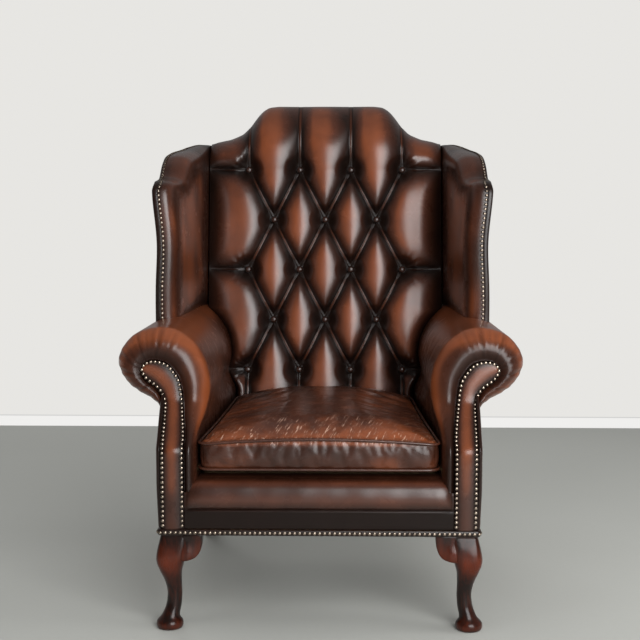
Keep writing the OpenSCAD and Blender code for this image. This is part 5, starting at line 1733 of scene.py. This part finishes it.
class WING_CHAIR_OT_back(PieceOperator, bpy.types.Operator):
    """Buttons the hide of the back over its stuffing"""

    bl_idname = "wing_chair.back"
    bl_label = "Buttoned Back"

    def make(self):
        rings, rub, dark = back_hide(sizes().tuft_height / MM)
        piece = make_piece("tufted_back", padded_faces(rings, rub, dark), "hide")
        seat(piece, "chair", "antique_leather", ["inside_back"], 0.85)
        stuffing = make_piece("back_stuffing", back_stuffing_rings(), "stuffing")
        seat(stuffing, "chair", "foam", ["back_foam"], 0.9)
        button = dome("covered button", sizes().button_radius / MM, 6.0, around=28, rings=9, skirt=8.0, brightness=0.36)
        places = [(x, float(button_depth(z)) - BUTTON_STAND, z) for x, z in BUTTONS]
        facings = [(0, -1, LEAN)] * len(places)
        buttons = rows_of("covered_buttons", places, facings, button, "dark_hide", smallest=0.97, tilt=0.05, seed=3)
        seat(buttons, "chair", "dark_leather", ["back_buttons"])


class WING_CHAIR_OT_arms(PieceOperator, bpy.types.Operator):
    """Covers the arms, their nailed facings and their outsides"""

    bl_idname = "wing_chair.arms"
    bl_label = "Arms"

    def make(self):
        make_both("arm_hide", arm_hide_rings(), "hide", "antique_leather", "inside_arm", 0.85)
        make_both("arm_front", facing_rings(), "hide", "antique_leather", "arm_facing", 0.8)
        make_both("arm_panel", arm_panel(), "dark_hide", "dark_leather", "outside_arm", 0.5)
        make_both("arm_roll_end", arm_end(), "dark_hide", "dark_leather", "arm_end", 0.5)


class WING_CHAIR_OT_wings(PieceOperator, bpy.types.Operator):
    """Covers the wings inside, outside and round their edges"""

    bl_idname = "wing_chair.wings"
    bl_label = "Wings"

    def make(self):
        make_both("wing_hide", wing_rings(), "hide", "antique_leather", "inside_wing", 0.8)
        make_both("wing_edge", wing_edge_rings(), "dark_hide", "dark_leather", "wing_band", 0.6)
        make_both("wing_panel", wing_panel(), "dark_hide", "dark_leather", "outside_wing", 0.5)


class WING_CHAIR_OT_outside(PieceOperator, bpy.types.Operator):
    """Covers the front border, the foot of the frame and the outside back"""

    bl_idname = "wing_chair.outside"
    bl_label = "Border, Band and Outside Back"

    def make(self):
        for name, made, finish, slot, node, fill in (
            ("border_hide", border_rings(), "hide", "antique_leather", "front_border", 0.85),
            ("foot_band", band_rings(), "dark_hide", "dark_leather", "border_band", 0.5),
            ("back_panel", back_panel(), "dark_hide", "dark_leather", "outside_back", 0.5),
            ("seat_platform", platform_rings(), "platform", "deck_cloth", "seat_deck", 0.8),
        ):
            seat(make_piece(name, made, finish), "chair", slot, [node], fill)


class WING_CHAIR_OT_cushion(PieceOperator, bpy.types.Operator):
    """Fills the loose cushion and sews on its welts and zip"""

    bl_idname = "wing_chair.cushion"
    bl_label = "Seat Cushion"

    def make(self):
        piece = make_piece("seat_cushion_hide", cushion_rings(0.0), "seat_hide")
        loop = cushion_outline(2 * WELT_RADIUS, 700)
        seams = [np.c_[loop, seam_height(loop[:, 0], share)] for share in (0.04, 0.97)]
        inflate(piece, to_world(np.concatenate(seams)))
        tint(piece, rub=cushion_wear_and_light, crease=cushion_dark, scuff=cushion_scuff)
        seat(piece, "seat_cushion", "antique_leather", ["cushion_cover"], sizes().cushion_swell)
        core = make_piece("cushion_filling", cushion_rings(6.0), "stuffing")
        seat(core, "seat_cushion", "foam", ["cushion_core"], 0.8)
        parts = joined([welt_rings(share) for share in (0.06, 0.96)])
        seat(make_piece("cushion_welts", parts, "dark_hide"), "seat_cushion", "dark_leather", ["cushion_piping"])
        seat(make_piece("zip_tape", zip_tape_rings(), "tape", 40), "seat_cushion", "zip_tape", ["cushion_zip"])
        tooth = dome("zip tooth", 0.95, 0.8, around=6, rings=2)
        teeth = rows_of("zip_teeth", *zip_teeth_rows(), tooth, "zip_metal", smallest=1.0, tilt=0.0, seed=5)
        seat(teeth, "seat_cushion", "aged_brass")
        seat(make_piece("zip_runner", zip_pull_rings(), "zip_metal", 35), "zip_pull", "aged_brass", ["zip_slider"])


class WING_CHAIR_OT_wood(PieceOperator, bpy.types.Operator):
    """Carves the legs and finishes the frame and its webbing"""

    bl_idname = "wing_chair.wood"
    bl_label = "Legs and Frame"

    def make(self):
        make_both("carved_leg", leg_rings(), "mahogany", "mahogany_legs", "front_leg")
        make_both("rear_leg", rear_leg_rings(), "mahogany", "mahogany_legs", "back_post", sharp=50)
        seat(make_piece("knee_ears", knee_block_parts(), "mahogany", 50), "chair", "mahogany_legs", ["knee_blocks"])
        for part in frame["record"]["subparts"]:
            if part["material_slot"] in ("beech_frame", "webbing"):
                dress([part["node"]], part["material_slot"].split("_")[0])
        dress(["dust_cover"], "dust")


class WING_CHAIR_OT_nails(PieceOperator, bpy.types.Operator):
    """Drives the rows of dressing nails"""

    bl_idname = "wing_chair.nails"
    bl_label = "Dressing Nails"

    def make(self):
        pitch, radius = sizes().nail_pitch / MM, sizes().nail_radius / MM
        makers = {
            "facing_nails": facing_nail_rows, "wing_nails": wing_nail_rows,
            "band_nails": band_nail_rows, "back_nails": back_nail_rows,
        }
        for seed, (name, make_rows) in enumerate(makers.items()):
            nail = dome("nail", radius, NAIL_HEIGHT, around=9, rings=3)
            rows = rows_of(name, *make_rows(pitch), nail, "nail", smallest=0.95, tilt=0.07, seed=seed)
            seat(rows, "chair", "aged_brass")


# The stage

WALL_LINE = 1.757
SKIRTING = 0.22
# Colour of a painted shadow line along the top of the skirting.
SKIRTING_SHADOW_LINE = (0.3, 0.3, 0.3)
FLOOR_HALF = 14
# Place, the point it faces, width and height, power, and whether it is mirrored in the gloss
LAMPS = {
    "window": ((1.2, -2.85, 1.65), (0, 0, 0.6), (1.9, 2.5), 120, True),
    "fill": ((-2.8, -2.4, 1.5), (0, 0, 0.55), (1.2, 1.8), 16, False),
    "overhead": ((0, -0.4, 3.2), (0, 0, 0.4), (2.4, 2.4), 30, False),
    "low bounce": ((0, -4.4, 0.9), (0, 0, 0.35), (4.2, 1.3), 96, False),
    "side bounce": ((3.2, -0.5, 1.1), (0, 0, 0), (1.8, 1.2), 60, False),
    "rear": ((-1.2, 3.0, 2.2), (0, 0.2, 0.6), (2.0, 1.6), 40, False),
}
# The world's light grows from in front of the chair to behind it
WORLD_LIGHT = {"From Min": -0.5, "From Max": 0.5, "To Min": 0.08, "To Max": 0.28}
CAMERA_PLACE = (0.062, FRONT_Y * MM - 2.6, 0.928)
CAMERA_TURN = (83.565, 0, 1.31)
CAMERA_LENS, CAMERA_FILM = 74.8, 36


def add_lamp(name, place, aim, size, watts, mirrored_in_gloss):
    """A softbox that faces a point."""
    data = bpy.data.lights.new(name, "AREA")
    data.shape = "RECTANGLE"
    data.size, data.size_y = size
    data.energy = watts
    box = link(bpy.data.objects.new(name, data))
    box.visible_glossy = mirrored_in_gloss
    box.location = place
    box.rotation_euler = (Vector(aim) - Vector(place)).to_track_quat("-Z", "Y").to_euler()


def floor_finish():
    """A smooth grey floor that turns into the pale wall's colour beyond the wall line."""
    c = colours()
    finish = Finish("Pale floor", specular_ior_level=0.3)
    clouds = finish.noise(1.6, 4.0, 0.55)
    specks = finish.noise(90.0, 3.0, 0.6)
    darker, lighter = (lerp_colour(c.floor, tone, 0.06) for tone in (BLACK, WHITE))
    shade = finish.blend(clouds * 0.6 + specks * 0.3, darker, lighter)
    finish.show(base_color=shade, roughness=0.55 + clouds * 0.1)
    back = finish.axes()[1]
    beyond = finish.maths("GREATER_THAN", back, WALL_LINE)
    board = finish.maths("LESS_THAN", back, WALL_LINE + SKIRTING)
    line = finish.maths("GREATER_THAN", back, WALL_LINE + 0.9 * SKIRTING)
    wall = finish.blend(board * beyond, c.wall, lerp_colour(c.wall, WHITE, 0.35))
    # A painted shadow line along the top of the skirting board.
    wall = finish.blend(board * line * 0.4, wall, SKIRTING_SHADOW_LINE)
    glow = finish.node("ShaderNodeEmission", {}, {"Color": wall, "Strength": 1.0})
    mix = finish.node("ShaderNodeMixShader", {}, {0: beyond, 1: finish.shader.outputs[0], 2: glow.outputs[0]})
    finish.feed(finish.output.inputs[0], mix.outputs[0])
    return finish.material


def studio_world():
    """Soft light that is stronger from behind; the camera sees the wall's colour instead."""
    world = bpy.data.worlds.new("studio")
    world.use_nodes = True
    tree = world.node_tree
    tree.nodes.clear()
    seen, light = (tree.nodes.new("ShaderNodeBackground") for _ in range(2))
    seen.inputs[0].default_value = opaque(colours().wall)
    way, split, shades, path, mix, output = (tree.nodes.new(f"ShaderNode{kind}") for kind in (
        "TexCoord", "SeparateXYZ", "MapRange", "LightPath", "MixShader", "OutputWorld"))
    shades.interpolation_type = "SMOOTHSTEP"
    for key, value in WORLD_LIGHT.items():
        shades.inputs[key].default_value = value
    for start, end in (
        (way.outputs["Generated"], split.inputs[0]), (split.outputs["Y"], shades.inputs["Value"]),
        (shades.outputs[0], light.inputs["Strength"]), (path.outputs["Is Camera Ray"], mix.inputs[0]),
        (light.outputs[0], mix.inputs[1]), (seen.outputs[0], mix.inputs[2]), (mix.outputs[0], output.inputs[0]),
    ):
        tree.links.new(start, end)
    return world


class WING_CHAIR_OT_stage(PieceOperator, bpy.types.Operator):
    """Sets the floor, lamps, world and camera"""

    bl_idname = "wing_chair.stage"
    bl_label = "Stage"

    def make(self):
        scene = bpy.context.scene
        scene.view_settings.view_transform = "Standard"
        mesh = bpy.data.meshes.new("floor")
        corners = [(x * FLOOR_HALF, y * FLOOR_HALF, 0) for x, y in ((-1, -1), (1, -1), (1, 1), (-1, 1))]
        mesh.from_pydata(corners, [], [[0, 1, 2, 3]])
        mesh.materials.append(floor_finish())
        link(bpy.data.objects.new("floor", mesh))
        for name, settings in LAMPS.items():
            add_lamp(name, *settings)
        scene.world = studio_world()
        lens = bpy.data.cameras.new("camera")
        lens.lens, lens.sensor_width = CAMERA_LENS, CAMERA_FILM
        camera = link(bpy.data.objects.new("camera", lens))
        camera.location = CAMERA_PLACE
        camera.rotation_euler = [math.radians(turn) for turn in CAMERA_TURN]
        scene.camera = camera


class WING_CHAIR_PT_panel(bpy.types.Panel):
    """Lists the pieces of the wing chair and the sizes and colours that can be changed"""

    bl_label = "Wing Chair"
    bl_space_type = "VIEW_3D"
    bl_region_type = "UI"
    bl_category = "Wing Chair"

    def draw(self, context):
        for group in (context.scene.wing_chair_sizes, context.scene.wing_chair_colours):
            box = self.layout.box()
            for key in group.bl_rna.properties.keys():
                if key not in {"rna_type", "name"}:
                    box.prop(group, key)
        for operator in OPERATORS:
            self.layout.operator(operator.bl_idname)


OPERATORS = (
    WING_CHAIR_OT_back, WING_CHAIR_OT_arms, WING_CHAIR_OT_wings, WING_CHAIR_OT_outside, WING_CHAIR_OT_cushion,
    WING_CHAIR_OT_wood, WING_CHAIR_OT_nails, WING_CHAIR_OT_stage,
)
CLASSES = (WingChairSizes, WingChairColours, *OPERATORS, WING_CHAIR_PT_panel)


def register():
    for item in CLASSES:
        bpy.utils.register_class(item)
    bpy.types.Scene.wing_chair_sizes = bpy.props.PointerProperty(type=WingChairSizes)
    bpy.types.Scene.wing_chair_colours = bpy.props.PointerProperty(type=WingChairColours)


def unregister():
    del bpy.types.Scene.wing_chair_sizes
    del bpy.types.Scene.wing_chair_colours
    for item in reversed(CLASSES):
        bpy.utils.unregister_class(item)


def main():
    register()
    for operator in OPERATORS:
        group, name = operator.bl_idname.split(".")
        getattr(getattr(bpy.ops, group), name)()


if __name__ == "__main__":
    main()
